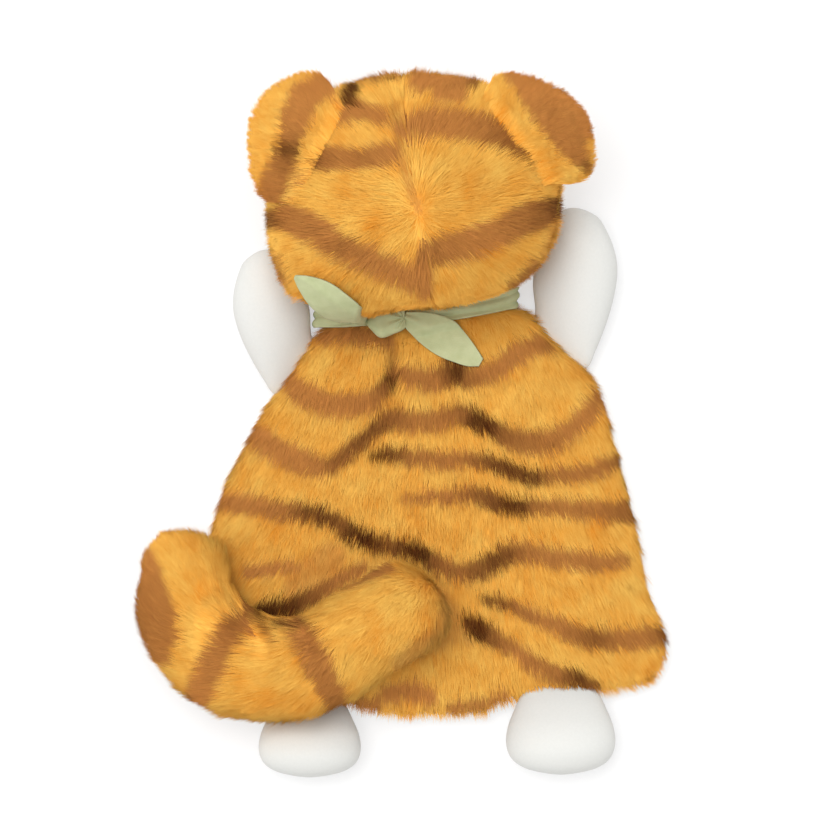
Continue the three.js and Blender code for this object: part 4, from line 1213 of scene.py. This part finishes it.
def make_limbs():
    forms = {f"{kind}_{side}": form for kind, pair in (("arm", arm_forms), ("leg", leg_forms))
             for side, form in pair.items()}
    for name, form in forms.items():
        for part, bearings in (("back", UPPER_HALF), ("front", LOWER_HALF)):
            panel(f"{name}_{part}_cloth", Skin(form), (bearings, (form.start, QUARTER)), -MINKY_DEPTH,
                  MINKY_THICKNESS, WHITE, name, [f"{name}_{part}_panel"], (96, 80))
        panel(f"{name}_wadding", Skin(form), (AROUND, UPPER_TURNS), -LIMB_WADDING_DEPTH, LIMB_WADDING_SKIN,
              FIBRE, name, [f"{name}_filling"], (48, 30))


def make_tail():
    skin, whole = Skin(tail_form, tail_relief, tail_paint), (-1, 2)
    for part, bearings, count in (("upper", UPPER_HALF, 44000), ("lower", LOWER_HALF, 22000)):
        panel(f"tail_{part}_cloth", skin, (bearings, whole), -TAIL_DEPTH, BACKING, ORANGE, "tail",
              [f"tail_{part}_panel"], (48, 110))
        fur(f"tail_{part}_fur", skin, (bearings, whole), count, TAIL_PILE, comb_tail, ORANGE, "tail")
    panel("tail_wadding", Skin(tail_form), (AROUND, whole), -WADDING_DEPTH, WADDING_SKIN, FIBRE, "tail",
          ["tail_filling"], (48, 80))


def cloth_strip(name, surface, size, body, nodes):
    """A strip of the scarf: at each share along its length and each share across, from -1 to 1, the point
    that the surface gives, half a thickness above and below along the strip's normal."""
    length, width = size
    s, t = np.meshgrid(np.linspace(0, 1, STRIP_GRID[0]), np.linspace(-1, 1, STRIP_GRID[1]), indexing="ij")
    middle = surface(s, t)
    normal = unit(np.cross(np.gradient(middle, axis=0), np.gradient(middle, axis=1)))
    layers = [middle + normal * SCARF_THICKNESS / 2, middle - normal * SCARF_THICKNESS / 2]
    points = above_floor(np.concatenate([layer.reshape(-1, 3) for layer in layers]))
    piece = place_mesh(name, points, outward(points, shell_faces(*STRIP_GRID, False)), SAGE, body)
    flat = np.stack([s * length, t * width / 2, 0 * s], -1).reshape(-1, 3)
    keep_threads(piece, np.concatenate([flat, flat]))
    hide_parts(*nodes)
    return piece


def leaf_cut(line, edges):
    """Length, width and area of a scarf's end laid flat: the length of its middle line, its greatest width,
    and its width added up along the line."""
    step = np.linalg.norm(np.diff(line, axis=0), axis=1)
    s = (np.arange(len(step)) + 0.5) / len(step)
    width = np.hypot(*(leaf_places(edges, s, 0 * s + 1) - leaf_places(edges, s, 0 * s - 1)).T)
    return float(step.sum()), float(width.max()), float((width * step).sum())


def make_leaf(name, edges, height, body, nodes):
    """One end of the scarf, lying at the height that its places give, and what it was cut to."""
    def lie(s, t):
        place = leaf_places(edges, s, t)
        return np.concatenate([place, height(place, s, t)[..., None]], -1)

    line = lie(np.linspace(0, 1, LEAF_STEPS), np.zeros(LEAF_STEPS))
    length, width, area = leaf_cut(line, edges)
    piece = cloth_strip(name, lie, (length, width), body, nodes)
    return piece


def lower_height(place, s, t):
    """The scarf's lower end lies on the back with a fold along it, over the band, and rises to the knot."""
    fold = ridge(t - 0.2 + 0.5 * s, *LOWER_FOLD) * smooth(1 - s / 0.75) + LEAF_CURL * t ** 2
    lie = body_form.height(place, LEAF_LIE) + fold
    over = band_top(place) + BAND_CLEAR + 0.5 * fold
    lie = lie + smooth(1 - beside_band(place) / BAND_RAMP) * (over - lie).clip(0)
    rise = smooth(1 - s / 0.3)
    return lie * (1 - rise) + (KNOT[2] + LOWER_START + 0.8 * fold) * rise


def upper_height(place, s, t):
    """The scarf's upper end lies on the head with a fold along it, and falls to the knot."""
    fold = ridge(t + 0.1 - 0.5 * s, *UPPER_FOLD) * np.sin(np.pi * s.clip(0, 1))
    rise = smooth(1 - s / 0.16)
    return (head_form.height(place, LEAF_LIE) + fold) * (1 - rise) + (KNOT[2] + UPPER_START) * rise


def band_surface(s, t):
    """The scarf's band: an ellipse round the neck, creased, and gathered under the knot."""
    turn = s * FULL_TURN
    long, short = BAND_CREASES
    crease = long * np.sin(2.2 * np.pi * t + 3 * np.sin(2 * turn)) + short * np.sin(5 * turn + 2 * t)
    across = (BAND_HALFS[0] + crease) * np.cos(turn)
    over = (BAND_HALFS[1] + crease) * np.sin(turn)
    gather = 0.88 - ridge(across - KNOT[0], *BAND_GATHER) * (over > 0)
    x = BAND_MIDDLE[0] + across
    return np.stack([x, band_middle(x) + t * gather * BAND_WIDTH / 2, BAND_MIDDLE[2] + over], -1)


def knot_surface(bearing, turn, grow=0.0):
    """The knot: a small pillow with pleats that fan out from where it is pinched, drooping to the left."""
    point = knot_form(bearing, turn, grow)
    out = point[..., :2] - KNOT_PINCH
    fan = np.arctan2(out[..., 1], out[..., 0])
    fade = np.exp(-np.hypot(*np.moveaxis(out, -1, 0)) / KNOT_PLEAT_REACH)
    pleat = KNOT_PLEAT * np.sin(9 * fan) * fade
    droop = KNOT_DROOP_SHARE * (KNOT[0] - point[..., 0]).clip(0)
    return point + UP * ((pleat - droop) * (np.sin(turn) > 0) * np.abs(np.sin(turn)))[..., None]


def make_scarf():
    make_leaf("scarf_lower_end", LEAF_DOWN_EDGES, lower_height, "scarf_end", ["scarf_tail_down"])
    upper = make_leaf("scarf_upper_end", LEAF_UP_EDGES, upper_height, None, ["scarf_tail_up"])
    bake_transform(upper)
    around = 2 * np.pi * np.sqrt((BAND_HALFS[0] ** 2 + BAND_HALFS[1] ** 2) / 2) * 0.92
    ring = cloth_strip("scarf_neck_band", band_surface, (around, BAND_WIDTH), "torso", ["scarf_band"])
    knot = panel("scarf_knot_wrap", Skin(knot_surface), (AROUND, ALL_TURNS), 0, SCARF_THICKNESS, SAGE,
                 "torso", ["scarf_knot"], (120, 60))
    keep_threads(knot, np.array([vertex.co for vertex in knot.data.vertices]) / MM)


def boxed(node):
    """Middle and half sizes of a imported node, in mm."""
    low, high = (np.array(corner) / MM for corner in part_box(node))
    return (low + high) / 2, (high - low) / 2


def make_face():
    middle, _ = boxed("muzzle")
    snout = Skin(Ball([middle[0], middle[1], MUZZLE_HALFS[2]], MUZZLE_HALFS))
    panel("muzzle_cloth", snout, (AROUND, ALL_TURNS), -MUZZLE_CLOTH_DEPTH, MUZZLE_BACKING, CREAM, "head",
          ["muzzle"], (80, 40))

    def comb_muzzle(root, *_):
        return root - np.array([middle[0], middle[1] + MUZZLE_PARTING, 0])

    fur("muzzle_fur", snout, (AROUND, (-QUARTER, 0.5)), 9000, MUZZLE_PILE, comb_muzzle, CREAM, "head")
    for name, look in (("nose", BROWN_THREAD), ("eye_left", BLACK_THREAD), ("eye_right", BLACK_THREAD)):
        panel(f"{name}_embroidery", Skin(Ball(*boxed(name))), (AROUND, ALL_TURNS), 0, THREAD_THICKNESS, look,
              "head", [name], (48, 30))


def neck_surface(bearing, along, grow=0.0):
    """The neck: a flat roll of cloth from the body's end to the head, which closes inside the chin."""
    close = np.sqrt(1 - along.clip(0, 1) ** 3)
    across = (NECK_HALFS[0] + grow) * close * np.cos(bearing)
    over = (NECK_HALFS[1] + grow) * close * np.sin(bearing)
    return NECK_START + np.stack([across, NECK_LENGTH * along, over], -1)


def comb_neck(root, *_):
    """Towards the body."""
    return np.tile([0.0, -1.0, 0.0], (len(root), 1))


def make_neck():
    """The neck between the body and the head: its cloth and its pile, fixed in place on no body."""
    skin, patch = Skin(neck_surface), (AROUND, (0, 1))
    cloth = panel("neck_cloth", skin, patch, -NECK_DEPTH, NECK_BACKING, ORANGE, None, [], (64, 24))
    pile = fur("neck_fur", skin, patch, 5000, NECK_PILE, comb_neck, ORANGE, None)
    for piece in (cloth, pile):
        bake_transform(piece)


def paper_floor():
    """Matt white paper, which glows for the camera as an overlit backdrop does and keeps a faint shadow."""
    made, tree = new_material("white_paper_floor")
    paper = add_node(tree, "ShaderNodeBsdfDiffuse", {"Color": colour_of("#F4F4F4")})
    glow = add_node(tree, "ShaderNodeEmission", {"Color": (1, 1, 1, 1), "Strength": 1.0})
    seen = add_node(tree, "ShaderNodeMixShader", {0: SHADOW_SHARE}, {1: glow.outputs[0], 2: paper.outputs[0]})
    ray = add_node(tree, "ShaderNodeLightPath")
    looks = worked_out(tree, "MAXIMUM", ray.outputs["Is Camera Ray"], ray.outputs["Is Glossy Ray"])
    clear = worked_out(tree, "MAXIMUM", looks, ray.outputs["Is Transmission Ray"])
    final = add_node(tree, "ShaderNodeMixShader", (), {0: clear, 1: paper.outputs[0], 2: seen.outputs[0]})
    add_node(tree, "ShaderNodeOutputMaterial", (), {"Surface": final.outputs[0]})
    return made


def make_stage():
    """A pale floor that keeps the toy's shadow, a white world, and soft light from above."""
    corners = FLOOR_HALF * np.array([[-1, -1, 0], [1, -1, 0], [1, 1, 0], [-1, 1, 0]], float)
    floor = place_mesh("floor", corners, np.array([[0, 1, 2, 3]]), (paper_floor(), None), None, False)
    scene = bpy.context.scene
    scene.world = bpy.data.worlds.new("studio")
    scene.world.use_nodes = True
    tree = scene.world.node_tree
    tree.nodes.clear()
    sky = add_node(tree, "ShaderNodeBackground", {"Color": (1, 1, 1, 1), "Strength": SKY_LIGHT})
    add_node(tree, "ShaderNodeOutputWorld", (), {"Surface": sky.outputs[0]})
    sun = bpy.data.lights.new("window", "SUN")
    sun.energy = SUN_LIGHT
    sun.angle = SUN_ANGLE
    lamp = bpy.data.objects.new("window", sun)
    scene.collection.objects.link(lamp)
    lamp.rotation_mode = "QUATERNION"
    lamp.rotation_quaternion = Vector(SUN_WAY).to_track_quat("-Z", "Y")


def make_camera():
    """A camera straight above the toy, far enough off that near and far parts keep their photographed
    places."""
    scene = bpy.context.scene
    scene.view_settings.view_transform = "Standard"
    camera = bpy.data.cameras.new("camera")
    camera.sensor_width = CAMERA_SENSOR
    camera.lens = CAMERA_SENSOR * (CAMERA_HEIGHT - SCALE_HEIGHT) / (PICTURE_SIDE * PIXEL)
    camera.clip_end = 2 * CAMERA_HEIGHT * MM
    holder = bpy.data.objects.new("camera", camera)
    scene.collection.objects.link(holder)
    centre = plan([PICTURE_SIDE / 2, PICTURE_SIDE / 2])
    holder.location = (centre[0] * MM, centre[1] * MM, CAMERA_HEIGHT * MM)
    scene.camera = holder


make_camera()
make_stage()
make_body()
make_head()
make_ears()
make_limbs()
make_tail()
make_neck()
make_scarf()
make_face()
